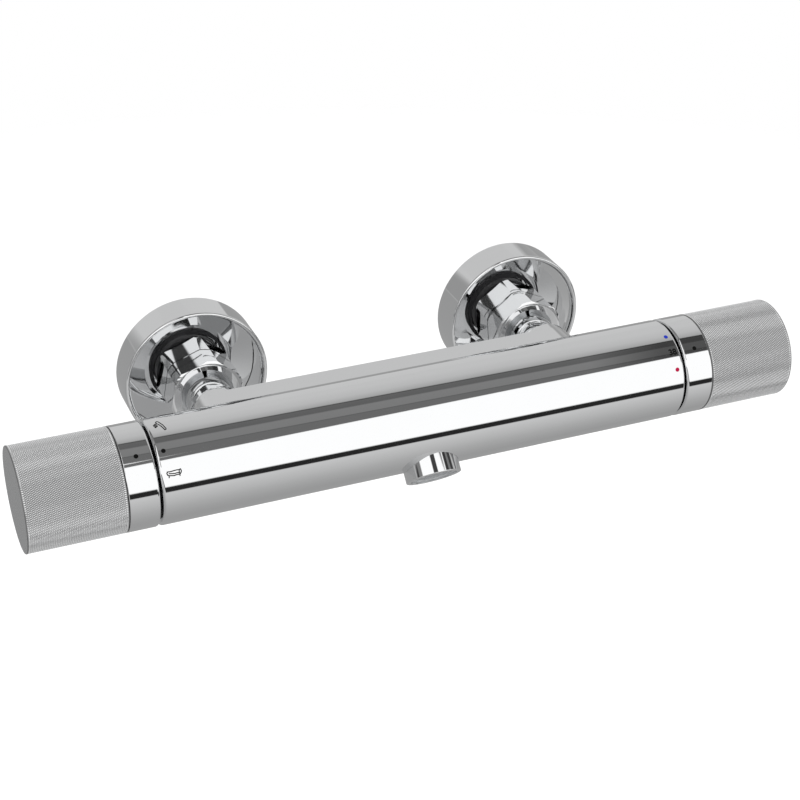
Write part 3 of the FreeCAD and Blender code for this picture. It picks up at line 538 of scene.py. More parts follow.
def join(target: bmesh.types.BMesh, parts: Iterable[bmesh.types.BMesh]) -> bmesh.types.BMesh:
    """Copy meshes into a first one and free them.

    Args:
        target: the mesh that grows.
        parts: the meshes to copy.

    Returns:
        The first mesh.
    """
    for part in parts:
        carrier = bpy.data.meshes.new("carrier")
        part.to_mesh(carrier)
        part.free()
        target.from_mesh(carrier)
        bpy.data.meshes.remove(carrier)
    return target


def plain_object(name: str, mesh: bmesh.types.BMesh) -> bpy.types.Object:
    """Turn a bmesh into an object in the scene.

    Args:
        name: the object's name.
        mesh: its mesh, which is freed.

    Returns:
        The object.
    """
    data = bpy.data.meshes.new(name)
    mesh.to_mesh(data)
    mesh.free()
    made = bpy.data.objects.new(name, data)
    bpy.context.scene.collection.objects.link(made)
    return made


def evaluated_mesh(made: bpy.types.Object, name: str) -> bpy.types.Mesh:
    """The mesh of an object with its modifiers applied.

    Args:
        made: the object.
        name: the new mesh's name.

    Returns:
        The mesh.
    """
    bpy.context.view_layer.update()
    graph = bpy.context.evaluated_depsgraph_get()
    data = bpy.data.meshes.new_from_object(made.evaluated_get(graph))
    data.name = name
    return data


class Cut(Enum):
    """How a shape is combined with another."""

    ADD = "UNION"
    REMOVE = "DIFFERENCE"
    KEEP_COMMON = "INTERSECT"


def carved(base: bmesh.types.BMesh,
           steps: Sequence[tuple[Cut, bmesh.types.BMesh]]) -> bmesh.types.BMesh:
    """Join and cut solids, in millimetres so that the finest edges keep apart.

    Args:
        base: the first solid.
        steps: how each further solid is combined, in order.

    Returns:
        The result.
    """
    for shape in (base, *(shape for _, shape in steps)):
        bmesh.ops.scale(shape, vec=Vector((1.0, 1.0, 1.0)) / MM, verts=shape.verts[:])
    holder = plain_object("holder", base)
    tools = []
    for kind, shape in steps:
        tool = plain_object("tool", shape)
        tools.append(tool)
        modifier = holder.modifiers.new("carve", "BOOLEAN")
        modifier.operation = kind.value
        modifier.solver = "EXACT"
        modifier.object = tool
    data = evaluated_mesh(holder, "carved")
    for item in [holder, *tools]:
        old = item.data
        bpy.data.objects.remove(item)
        bpy.data.meshes.remove(old)
    mesh = bmesh.new()
    mesh.from_mesh(data)
    bpy.data.meshes.remove(data)
    bmesh.ops.scale(mesh, vec=Vector((MM, MM, MM)), verts=mesh.verts[:])
    return mesh


@dataclass
class Piece:
    """A finished piece of the scene: its mesh, its finish and the CAD body that it rides on."""

    name: str
    mesh: bmesh.types.BMesh
    finish: Finish
    body: str
    stands_for: tuple[str, ...] = ()
    round_faces: tuple[RoundFace, ...] = ()
    smooth: bool = True
    sharp: float = SHARP_ANGLE
    face_finish: Callable[[bmesh.types.BMFace], int] | None = None
    more_finishes: tuple[Finish, ...] = field(default_factory=tuple)

    def build(self) -> bpy.types.Object:
        """Make the object, shade it, dress it and hang it on its body.

        Returns:
            The object.
        """
        if self.face_finish:
            for face in self.mesh.faces:
                face.material_index = self.face_finish(face)
        made = plain_object(self.name, self.mesh)
        for finish in (self.finish, *self.more_finishes):
            made.data.materials.append(finish.material())
        if self.smooth:
            self._smooth(made)
        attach(made, self.body)
        if self.stands_for:
            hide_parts(*self.stands_for)
        log.info("%s: %d faces on %s", self.name, len(made.data.polygons), self.body)
        return made

    def _smooth(self, made: bpy.types.Object) -> None:
        """Shade smooth between sharp edges, with flat faces kept flat and round ones true.

        Args:
            made: the object.
        """
        made.data.shade_smooth()
        made.data.set_sharp_from_angle(angle=self.sharp)
        modifier = made.modifiers.new("weigh", "WEIGHTED_NORMAL")
        modifier.keep_sharp = True
        modifier.weight = FACE_WEIGHT
        data = evaluated_mesh(made, self.name)
        old = made.data
        made.modifiers.clear()
        made.data = data
        bpy.data.meshes.remove(old)
        if self.round_faces:
            self._true_round(data)

    def _true_round(self, data: bpy.types.Mesh) -> None:
        """Set exact normals where a face is part of a known cylinder.

        Args:
            data: the mesh.
        """
        normals = [Vector(item.vector) for item in data.corner_normals]
        for face in data.polygons:
            for loop in face.loop_indices:
                place = data.vertices[data.loops[loop].vertex_index].co
                for surface in self.round_faces:
                    exact = surface.normal(place, face.normal)
                    if exact:
                        normals[loop] = exact
                        break
        data.normals_split_custom_set(normals)


# The bar's own axis
RING_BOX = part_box("temperature_ring")
BAR = Vector((0.0, (RING_BOX[0].y + RING_BOX[1].y) / 2, (RING_BOX[0].z + RING_BOX[1].z) / 2))
BAR_AXIS = Axis(BAR, ALONG)
BAR_RADIUS = (RING_BOX[1].z - RING_BOX[0].z) / 2
OUTLET_TILT = math.radians(42.2)
INLET_X = 75.0 * MM


def inlet_axis(side: int) -> Axis:
    """The axis of an inlet from the bar's axis to the wall: side -1 is hot, 1 is cold."""
    return Axis(BAR + ALONG * side * INLET_X, TO_WALL)


# Body
@dataclass
class MixerBody:
    """The chromed bar with its rear rail, the two inlet necks and the hose boss."""

    half_length: float = 113.9 * MM
    edge: float = 1.2 * MM
    chamber_radius: float = 17.4 * MM
    thermostat_end: float = 52.0 * MM
    diverter_end: float = 66.0 * MM
    way_radius: float = 5.0 * MM
    rail_half_height: float = 12.3 * MM
    rail_back: float = 31.0 * MM
    rail_edge: float = 0.2 * MM
    rail_edge_steps: int = 3
    boss_radius: float = 12.0 * MM
    boss_end: float = 35.4 * MM
    neck_radius: float = 10.2 * MM
    neck_start: float = 37.6 * MM
    neck_curve: Point = (0.4, 0.3)
    collar_start: float = 55.0 * MM
    collar_radius: float = 12.9 * MM
    collar_edge: float = 0.2 * MM
    inlet_end: float = 58.0 * MM
    inlet_bore: float = 8.0 * MM
    inlet_bore_depth: float = 22.0 * MM
    spout_gap: float = 0.05 * MM
    hose_boss_radius: float = 10.95 * MM
    hose_boss_end: float = 19.495 * MM
    hose_boss_edge: float = 0.3 * MM
    hose_spigot_radius: float = 8.05 * MM
    hose_spigot_depth: float = 6.5 * MM

    def bar(self) -> bmesh.types.BMesh:
        """The bar, solid and round at its ends' edges."""
        half, edge = self.half_length, self.edge
        return BAR_AXIS.lathe([(-half, 0.0), (-half, BAR_RADIUS, edge), (half, BAR_RADIUS, edge),
                               (half, 0.0)])

    def chambers(self) -> bmesh.types.BMesh:
        """The room inside the bar: a chamber at each end and the way between them."""
        end = self.half_length + self.edge
        return BAR_AXIS.lathe([
            (-end, 0.0), (-end, self.chamber_radius), (-self.diverter_end, self.chamber_radius),
            (-self.diverter_end, self.way_radius), (self.thermostat_end, self.way_radius),
            (self.thermostat_end, self.chamber_radius), (end, self.chamber_radius), (end, 0.0)],
            shift=0.5)

    def rail(self) -> bmesh.types.BMesh:
        """The flat-backed rail, round about each inlet."""
        mesh = bmesh.new()
        for side in (-1, 1):
            middle = Axis(inlet_axis(side).origin + TO_WALL * self.rail_back / 2, TO_WALL)
            bmesh.ops.create_cone(mesh, cap_ends=True, segments=ROUND_STEPS, depth=self.rail_back,
                                  radius1=self.rail_half_height, radius2=self.rail_half_height,
                                  matrix=middle.placing())
        hull = bmesh.ops.convex_hull(mesh, input=mesh.verts[:], use_existing_faces=False)
        inner = [item for item in hull["geom_interior"] + hull["geom_unused"]
                 if isinstance(item, bmesh.types.BMVert) and item.is_valid]
        bmesh.ops.delete(mesh, geom=list(set(inner)), context="VERTS")
        bmesh.ops.dissolve_limit(mesh, angle_limit=FLAT_ANGLE, verts=mesh.verts[:], edges=mesh.edges[:],
                                 use_dissolve_boundaries=False)
        bmesh.ops.recalc_face_normals(mesh, faces=mesh.faces[:])
        back = BAR.y + self.rail_back
        rim = [e for e in mesh.edges if all(abs(v.co.y - back) < SAME_PLACE for v in e.verts)]
        round_off(mesh, rim, self.rail_edge, segments=self.rail_edge_steps)
        return mesh

    def neck(self, side: int) -> bmesh.types.BMesh:
        """Boss, neck and collar of one inlet.

        Args:
            side: -1 for the hot inlet on the left, 1 for the cold one.

        Returns:
            The turned neck.
        """
        drop = self.boss_radius - self.neck_radius
        middle = (self.boss_end + (self.neck_start - self.boss_end) * self.neck_curve[0],
                  self.boss_radius - drop * self.neck_curve[1])
        slope = arc((self.boss_end, self.boss_radius), middle, (self.neck_start, self.neck_radius))
        start = self.way_radius * 2
        return inlet_axis(side).lathe([
            (start, 0.0), (start, self.boss_radius), (self.boss_end, self.boss_radius), *slope,
            (self.collar_start, self.neck_radius),
            (self.collar_start, self.collar_radius, self.collar_edge),
            (self.inlet_end, self.collar_radius, self.collar_edge), (self.inlet_end, 0.0)])

    def round_faces(self) -> tuple[RoundFace, ...]:
        """Every true cylinder that shows on the body."""
        faces = [RoundFace(BAR_AXIS, BAR_RADIUS)]
        for side in (-1, 1):
            for radius in (self.rail_half_height, self.boss_radius, self.neck_radius,
                           self.collar_radius):
                faces.append(RoundFace(inlet_axis(side), radius))
        faces.append(RoundFace(HoseOutlet.axis(), self.hose_boss_radius))
        return tuple(faces)

    def build(self) -> list[Piece]:
        """The body as one carved solid."""
        hose = HoseOutlet.axis()
        steps = [(Cut.ADD, self.rail()), (Cut.ADD, self.neck(-1)), (Cut.ADD, self.neck(1)),
                 (Cut.ADD, hose.rod(self.hose_boss_radius, 0.0, self.hose_boss_end,
                                    self.hose_boss_edge)),
                 (Cut.REMOVE, BathOutlet.axis().bore(BathOutlet.radius + self.spout_gap,
                                                     BathOutlet.seat, BAR_RADIUS * 2)),
                 (Cut.REMOVE, hose.bore(self.hose_spigot_radius,
                                        self.hose_boss_end - self.hose_spigot_depth,
                                        self.hose_boss_end * 2))]
        for side in (-1, 1):
            steps.append((Cut.REMOVE, inlet_axis(side).bore(
                self.inlet_bore, self.inlet_end - self.inlet_bore_depth, self.inlet_end * 2)))
        steps.append((Cut.REMOVE, self.chambers()))
        return [Piece("mixer_body", carved(self.bar(), steps), CHROME, "root", ("valve_body",),
                      self.round_faces())]


# Bath outlet
@dataclass
class BathOutlet:
    """The short tilted outlet under the bar's front, with its aerator."""

    radius: float = 11.6 * MM
    end: float = 25.7 * MM
    seat: float = 17.3 * MM
    spigot_radius: float = 10.0 * MM
    spigot_length: float = 2.6 * MM
    cavity_radius: float = 8.4 * MM
    aerator_radius: float = 9.65 * MM
    aerator_seat: float = 17.8 * MM
    edge: float = 0.3 * MM
    inner_edge: float = 0.15 * MM

    @staticmethod
    def axis() -> Axis:
        """The way that the water leaves, forward of straight down."""
        return Axis(BAR, Vector((0.0, -math.sin(OUTLET_TILT), -math.cos(OUTLET_TILT))))

    def build(self) -> list[Piece]:
        """The outlet's shell."""
        start = self.seat - self.spigot_length
        shell = self.axis().lathe([
            (start, self.cavity_radius), (start, self.spigot_radius), (self.seat, self.spigot_radius),
            (self.seat, self.radius), (self.end, self.radius, self.edge),
            (self.end, self.aerator_radius, self.inner_edge), (self.aerator_seat, self.aerator_radius),
            (self.aerator_seat, self.cavity_radius)])
        return [Piece("bath_outlet", shell, CHROME, "root", ("spout_collar",))]


# Hose outlet
@dataclass
class HoseOutlet:
    """The threaded outlet for the shower hose, behind the bar."""

    y: float = 20.0 * MM
    spigot_top: float = 12.995 * MM
    spigot_radius: float = 8.0 * MM
    flange_start: float = 20.995 * MM
    flange_end: float = 21.995 * MM
    flange_radius: float = 11.0 * MM
    relief_radius: float = 9.4 * MM
    thread_start: float = 22.995 * MM
    thread_end: float = 31.495 * MM
    bore: float = 5.2 * MM
    flange_edge: float = 0.15 * MM
    end_edge: float = 0.5 * MM
    bore_edge: float = 0.3 * MM

    @staticmethod
    def axis() -> Axis:
        """Straight down, from level with the bar's axis."""
        return Axis(BAR + TO_WALL * HoseOutlet.y, -UP)

    def build(self) -> list[Piece]:
        """The nipple with its thread."""
        nipple = self.axis().lathe([
            (self.spigot_top, self.bore), (self.spigot_top, self.spigot_radius),
            (self.flange_start, self.spigot_radius),
            (self.flange_start, self.flange_radius, self.flange_edge),
            (self.flange_end, self.flange_radius, self.flange_edge),
            (self.flange_end, self.relief_radius),
            (self.thread_end, THREAD_CORE, self.end_edge),
            (self.thread_end, self.bore, self.bore_edge)])
        ridge = self.axis().thread(self.thread_start, self.thread_end)
        return [Piece("hose_outlet", join(nipple, [ridge]), CHROME, "root", ("hose_nipple",))]


# Inlet connections
@dataclass
class InletConnection:
    """One inlet's union nut, offset union and wall cover.

    Attributes:
        side: -1 for the hot inlet on the left, 1 for the cold one.
        nut_turn: how far below the +X axis one of the nut's corners lies, in degrees.
    """

    name: str
    side: int
    nut_turn: float
    wall: float = 81.3 * MM
    drop: float = 7.5 * MM
    nut_flats: float = 30.0 * MM
    nut_front: float = 50.0 * MM
    nut_rear: float = 74.0 * MM
    nut_face_radius: float = 15.1 * MM
    nut_front_radius: float = 16.1 * MM
    nut_rear_radius: float = 16.6 * MM
    nut_chamfer: float = 0.6 * MM
    nut_corner: float = 0.35 * MM
    nut_edge: float = 0.2 * MM
    nut_opening: float = 11.8 * MM
    nut_dish_radius: float = 14.3 * MM
    nut_dish: float = 0.9 * MM
    nut_lip: float = 3.0 * MM
    nut_bore: float = 13.35 * MM
    groove_at: float = 11.5 * MM
    groove_width: float = 0.6 * MM
    groove_depth: float = 0.6 * MM
    cover_radius: float = 31.5 * MM
    cover_front: float = 65.05 * MM
    cover_back: float = 81.0 * MM
    cover_lip: float = 1.7 * MM
    cover_edge: float = 0.15 * MM
    cover_wall: float = 1.3 * MM
    dish_bend: float = 1.0 * MM
    dish_curve: Point = (1.15, 0.3)
    dish_slope: float = math.radians(37.0)
    dish_foot: float = 16.0 * MM
    cover_bore: float = 13.4 * MM
    union_front: float = 60.0 * MM
    union_radius: float = 13.2 * MM
    union_bore: float = 8.2 * MM
    link_radius: float = 12.0 * MM
    link_thickness: float = 2.3 * MM
    stud_length: float = 16.0 * MM
    stud_bore: float = 6.5 * MM
    stud_edge: float = 0.8 * MM
    relief: float = 1.0 * MM
    margin: float = 0.4 * MM

    def nut(self) -> bmesh.types.BMesh:
        """The six-sided union nut with chamfered ends and a groove round its middle."""
        axis = inlet_axis(self.side)
        corner = self.nut_flats / 2 / math.cos(math.pi / 6) + self.margin
        blank = axis.hexagon(self.nut_flats, self.nut_front - self.margin, self.nut_rear + self.margin,
                             math.radians(self.nut_turn - 90.0), self.nut_corner)
        groove = self.nut_front + self.groove_at
        bottom = self.nut_flats / 2 - self.groove_depth
        turned = axis.lathe([
            (self.nut_front, self.nut_dish_radius, self.nut_edge),
            (self.nut_front, self.nut_face_radius, self.nut_edge),
            (self.nut_front + self.nut_chamfer, self.nut_front_radius), (groove, self.nut_front_radius),
            (groove + self.groove_width, self.nut_front_radius),
            (self.nut_rear - self.nut_chamfer / 2, self.nut_rear_radius),
            (self.nut_rear, self.nut_front_radius, self.nut_edge),
            (self.nut_rear, self.nut_bore), (self.nut_front + self.nut_lip, self.nut_bore),
            (self.nut_front + self.nut_lip, self.nut_opening),
            (self.nut_front + self.nut_dish, self.nut_opening)], shift=0.5)
        ring = axis.lathe([(groove, bottom), (groove, corner * 2),
                           (groove + self.groove_width, corner * 2),
                           (groove + self.groove_width, bottom)])
        return carved(turned, [(Cut.KEEP_COMMON, blank), (Cut.REMOVE, ring)])

    def cover(self) -> bmesh.types.BMesh:
        """The round cover: a rolled lip and a funnel that runs down to the union."""
        lip_middle = self.cover_radius - self.cover_lip / 2
        lip_inner = self.cover_radius - self.cover_lip
        shoulder = self.cover_front + self.cover_lip / 2
        lip = arc((shoulder, self.cover_radius), (self.cover_front, lip_middle),
                  (shoulder, lip_inner), 12)
        bend = self.dish_bend
        top = (shoulder + bend * 2, lip_inner - bend)
        curve = arc((shoulder, lip_inner), (shoulder + bend * self.dish_curve[0],
                                            lip_inner - bend * self.dish_curve[1]), top, 12)
        foot = top[0] + (top[1] - self.dish_foot) * math.tan(self.dish_slope)
        wall = self.cover_wall
        return inlet_axis(self.side).lathe([
            (self.cover_back, self.cover_radius, self.cover_edge), (shoulder, self.cover_radius),
            *lip, *curve, (foot, self.dish_foot), (foot, self.cover_bore, self.cover_edge),
            (foot + wall, self.cover_bore), (foot + wall, self.dish_foot + wall / 2),
            (top[0] + wall, top[1] + wall / 2), (self.cover_back, self.cover_radius - wall)])

    def union(self) -> bmesh.types.BMesh:
        """The offset union: a round front, a step down and the threaded wall stud."""
        axis = inlet_axis(self.side)
        low = Axis(axis.origin - UP * self.drop, TO_WALL)
        link = self.wall - self.link_thickness
        end = self.wall + self.stud_length
        stud = low.lathe([(link, 0.0), (link, THREAD_CORE), (end, THREAD_CORE, self.stud_edge),
                          (end, 0.0)])
        core = carved(axis.rod(self.union_radius, self.union_front, self.wall), [
            (Cut.ADD, low.rod(self.link_radius, link, self.wall)), (Cut.ADD, stud),
            (Cut.REMOVE, axis.bore(self.union_bore, 0.0, self.wall - self.link_thickness / 2)),
            (Cut.REMOVE, low.bore(self.stud_bore, link, end * 2))])
        ridge = low.thread(self.wall + self.relief, end)
        return join(core, [ridge])

    def build(self) -> list[Piece]:
        """Nut, cover and union."""
        name = self.name
        return [
            Piece(f"{name}_nut", self.nut(), CHROME, "root", (f"{name}_union_nut",),
                  sharp=FACET_ANGLE),
            Piece(f"{name}_cover", self.cover(), CHROME, "root", (f"{name}_wall_cover",)),
            Piece(f"{name}_union", self.union(), CHROME, "root", (f"{name}_offset_union",)),
        ]


# Handles
@dataclass
class Handle:
    """A smooth ring and the knurled grip beside it, which turn together."""

    name: str
    side: int
    ring_start: float = 114.8 * MM
    ring_end: float = 127.0 * MM
    ring_edge: float = 1.0 * MM
    joint_edge: float = 0.35 * MM
    inner_radius: float = 18.6 * MM
    screw_radius: float = 2.05 * MM
    grip_start: float = 127.15 * MM
    grip_end: float = 166.45 * MM
    grip_edge: float = 0.3 * MM
    grip_edge_steps: int = 5
    plain_band: float = 0.3 * MM
    end_wall: float = 3.0 * MM
    knurls_round: int = 320
    knurl_pitch: float = 0.66 * MM
    knurl_depth: float = 0.3 * MM

    def ring(self) -> bmesh.types.BMesh:
        """The ring, with the set screw's hole underneath."""
        axis = Axis(BAR, ALONG * self.side)
        turned = axis.lathe([(self.ring_start, self.inner_radius),
                             (self.ring_start, BAR_RADIUS, self.ring_edge),
                             (self.ring_end, BAR_RADIUS, self.joint_edge),
                             (self.ring_end, self.inner_radius)])
        screw = Axis(BAR + axis.direction * (self.ring_start + self.ring_end) / 2, -UP)
        return carved(turned, [(Cut.REMOVE, screw.bore(self.screw_radius, 0.0, BAR_RADIUS * 2))])

    def knurl(self) -> bmesh.types.BMesh:
        """The cup with a diamond knurl round it, plain at its edges."""
        axis = Axis(BAR, ALONG * self.side)
        floor = self.grip_end - self.end_wall
        start = self.grip_start + self.plain_band
        rows = int((self.grip_end - self.grip_edge - start) / self.knurl_pitch)
        pitch = (self.grip_end - self.grip_edge - start) / rows
        wall = [(start + row * pitch, BAR_RADIUS) for row in range(rows + 1)]
        inset = self.grip_edge * (1 - math.sqrt(0.5))
        edge = arc(wall[-1], (self.grip_end - inset, BAR_RADIUS - inset),
                   (self.grip_end, BAR_RADIUS - self.grip_edge), self.grip_edge_steps)
        cup = axis.lathe([
            (self.grip_start, self.inner_radius), (self.grip_start, BAR_RADIUS - self.joint_edge),
            (start, BAR_RADIUS), *wall[1:], *edge, (self.grip_end, 0.0), (floor, 0.0),
            (floor, self.inner_radius)], self.knurls_round)
        step = math.tau / self.knurls_round
        rim = BAR_RADIUS * math.cos(step)
        # Crests are marked here so that the grooves between them get painted shade in the knurl's
        # finish.
        crest = cup.verts.layers.float.new(CREST)
        for vertex in cup.verts:
            spoke = vertex.co - BAR
            along = spoke.dot(axis.direction)
            spoke -= axis.direction * along
            row = round((along - start) / pitch)
            off_row = abs(along - start - row * pitch) > SAME_PLACE
            if spoke.length < rim or not 0 < row < rows or off_row:
                continue
            column = round(math.atan2(spoke.z, spoke.y) / step)
            if (row + column) % 2:
                vertex.co -= spoke.normalized() * self.knurl_depth
            else:
                vertex[crest] = 1.0
        bmesh.ops.triangulate(cup, faces=cup.faces[:], quad_method="SHORT_EDGE")
        return cup

    def end_face(self, face: bmesh.types.BMFace) -> int:
        """Which finish a face of the grip takes: 1 on the flat end and inside, else 0."""
        centre = face.calc_center_median() - BAR
        radius = math.hypot(centre.y, centre.z)
        return 1 if radius < BAR_RADIUS - self.grip_edge else 0

    def build(self) -> list[Piece]:
        """Ring and grip."""
        name = self.name
        body = f"{name}_handle"
        return [
            Piece(f"{name}_ring_shell", self.ring(), CHROME, body, (f"{name}_ring",),
                  (RoundFace(BAR_AXIS, BAR_RADIUS),)),
            Piece(f"{name}_knurled_grip", self.knurl(), KNURL, body, (f"{name}_grip",),
                  smooth=False, face_finish=self.end_face, more_finishes=(GRIP_END,)),
        ]


# Printed marks
@dataclass
class Mark:
    """A printed mark that lies on the bar: flat shapes wrapped about its axis.

    Attributes:
        along: its place along the bar.
        angle: its place round the bar, in degrees above the front.
        lift: its height above the metal.
        cap_height: height of a digit as a share of the font's size.
        boldness: how far the digits' outlines grow, as a share of their height.
    """

    name: str
    body: str
    finish: Finish
    along: float
    angle: float
    lift: float = 0.04 * MM
    dot_steps: int = 32
    line_steps: int = 10
    cap_height: float = 0.7
    boldness: float = 0.045

    def wrap(self, mesh: bmesh.types.BMesh) -> bmesh.types.BMesh:
        """Bend a flat shape onto the bar.

        Args:
            mesh: a shape with X along the bar, Y round it and Z outwards.

        Returns:
            The same mesh, wrapped.
        """
        for vertex in mesh.verts:
            angle = math.radians(self.angle) + vertex.co.y / BAR_RADIUS
            radius = BAR_RADIUS + self.lift + vertex.co.z
            vertex.co = BAR + Vector((self.along + vertex.co.x, -radius * math.cos(angle),
                                      radius * math.sin(angle)))
        return mesh

    def piece(self, mesh: bmesh.types.BMesh) -> Piece:
        """The wrapped mark as a piece."""
        return Piece(self.name, self.wrap(mesh), self.finish, self.body, smooth=False)

    def dot(self, diameter: float) -> Piece:
        """A round dot.

        Args:
            diameter: its diameter.

        Returns:
            The piece.
        """
        mesh = bmesh.new()
        bmesh.ops.create_circle(mesh, cap_ends=True, cap_tris=True, segments=self.dot_steps,
                                radius=diameter / 2)
        return self.piece(mesh)

    def digits(self, text: str, height: float) -> Piece:
        """Numbers.

        Args:
            text: the numbers.
            height: height of a digit.

        Returns:
            The piece.
        """
        curve = bpy.data.curves.new(self.name, "FONT")
        curve.body = text
        curve.size = height / self.cap_height
        curve.offset = height * self.boldness
        curve.align_x = "CENTER"
        curve.align_y = "CENTER"
        holder = bpy.data.objects.new(self.name, curve)
        bpy.context.scene.collection.objects.link(holder)
        data = evaluated_mesh(holder, self.name)
        bpy.data.objects.remove(holder)
        bpy.data.curves.remove(curve)
        mesh = bmesh.new()
        mesh.from_mesh(data)
        bpy.data.meshes.remove(data)
        bmesh.ops.triangulate(mesh, faces=mesh.faces[:])
        return self.piece(mesh)

    def lines(self, strokes: Sequence[Sequence[Point]], width: float) -> Piece:
        """A sign drawn with lines.

        Args:
            strokes: each stroke's points, in metres; a stroke that ends where it starts is closed.
            width: width of the lines.

        Returns:
            The piece.
        """
        mesh = bmesh.new()
        for stroke in strokes:
            for start, end in zip(stroke, stroke[1:]):
                first, second = Vector((*start, 0.0)), Vector((*end, 0.0))
                aside = (second - first).normalized().cross(UP) * width / 2
                corners = [first + aside, second + aside, second - aside, first - aside]
                mesh.faces.new([mesh.verts.new(corner) for corner in corners])
            for place in stroke:
                bmesh.ops.create_circle(mesh, cap_ends=True, segments=self.line_steps,
                                        radius=width / 2, matrix=Matrix.Translation((*place, 0.0)))
        bmesh.ops.recalc_face_normals(mesh, faces=mesh.faces[:])
        return self.piece(mesh)


def scaled(points: Sequence[Point]) -> list[Point]:
    """Points in millimetres as metres."""
    return [(x * MM, y * MM) for x, y in points]


@dataclass
class Marks:
    """All that is printed on the bar and the rings; the signs' points are in millimetres.

    Attributes:
        dots: each dot's name, body, ink, place along the bar in millimetres and angle in degrees.
        signs: each sign's name, strokes, place along the bar and angle.
    """

    line: float = 0.42 * MM
    dot_size: float = 1.8 * MM
    digit_height: float = 2.55 * MM
    digits_at: Point = (110.3, 47.1)
    shower_sign: tuple[tuple[Point, ...], ...] = (
        ((-0.85, 2.6), (-0.2, 3.4), (0.25, 2.9), (0.8, 1.4), (1.3, 0.0), (1.9, -2.5), (1.75, -3.0),
         (1.3, -3.1), (0.7, -1.2), (0.3, -0.1), (-0.15, 0.9), (-0.7, 1.7), (-0.85, 2.6)),
        ((-1.3, 1.6), (-2.2, 0.7), (-1.8, -0.9), (-0.8, -0.1), (-1.3, 1.6)),
        ((-1.75, 1.15), (-1.3, -0.5)),
    )
    bath_sign: tuple[tuple[Point, ...], ...] = (
        ((-2.6, 0.9), (-1.5, 0.8), (-0.3, 0.9), (1.2, 1.0), (2.1, 0.9)),
        ((1.95, 0.0), (2.1, 0.85), (2.6, 1.15), (2.85, 0.5), (2.65, -0.25), (2.2, -0.7), (1.95, 0.0)),
        ((-2.5, 0.9), (-2.85, 0.4), (-2.65, -0.35), (-2.0, -0.65), (-0.3, -0.95), (0.7, -0.8),
         (2.1, -0.8)),
        ((-2.0, 0.15), (-1.3, 0.0), (0.2, -0.2), (1.0, -0.1), (1.9, -0.2)),
        ((-2.15, -0.7), (-2.25, -1.4)), ((2.05, -0.8), (2.05, -1.4)),
    )

    dots: tuple[tuple[str, str, Finish, float, float], ...] = (
        ("mark_cold_dot", "root", BLUE_INK, 110.3, 68.1),
        ("mark_hot_dot", "root", RED_INK, 110.5, 26.5),
        ("mark_temperature_pointer", "temperature_handle", BLACK_INK, 120.7, 46.7),
        ("mark_flow_pointer", "flow_handle", BLACK_INK, -121.3, 51.6),
        ("mark_closed_dot", "root", BLACK_INK, -110.6, 51.6),
    )
    signs: tuple[tuple[str, tuple[tuple[Point, ...], ...], float, float], ...] = (
        ("mark_shower_sign", shower_sign, -108.7, 85.3),
        ("mark_bath_sign", bath_sign, -108.4, 26.6),
    )

    def build(self) -> list[Piece]:
        """Every mark as a piece."""
        made = [Mark(name, body, ink, along * MM, angle).dot(self.dot_size)
                for name, body, ink, along, angle in self.dots]
        for name, strokes, along, angle in self.signs:
            mark = Mark(name, "root", BLACK_INK, along * MM, angle)
            made.append(mark.lines([scaled(stroke) for stroke in strokes], self.line))
        along, angle = self.digits_at
        mark = Mark("mark_38", "root", BLACK_INK, along * MM, angle)
        made.append(mark.digits("38", self.digit_height))
        return made


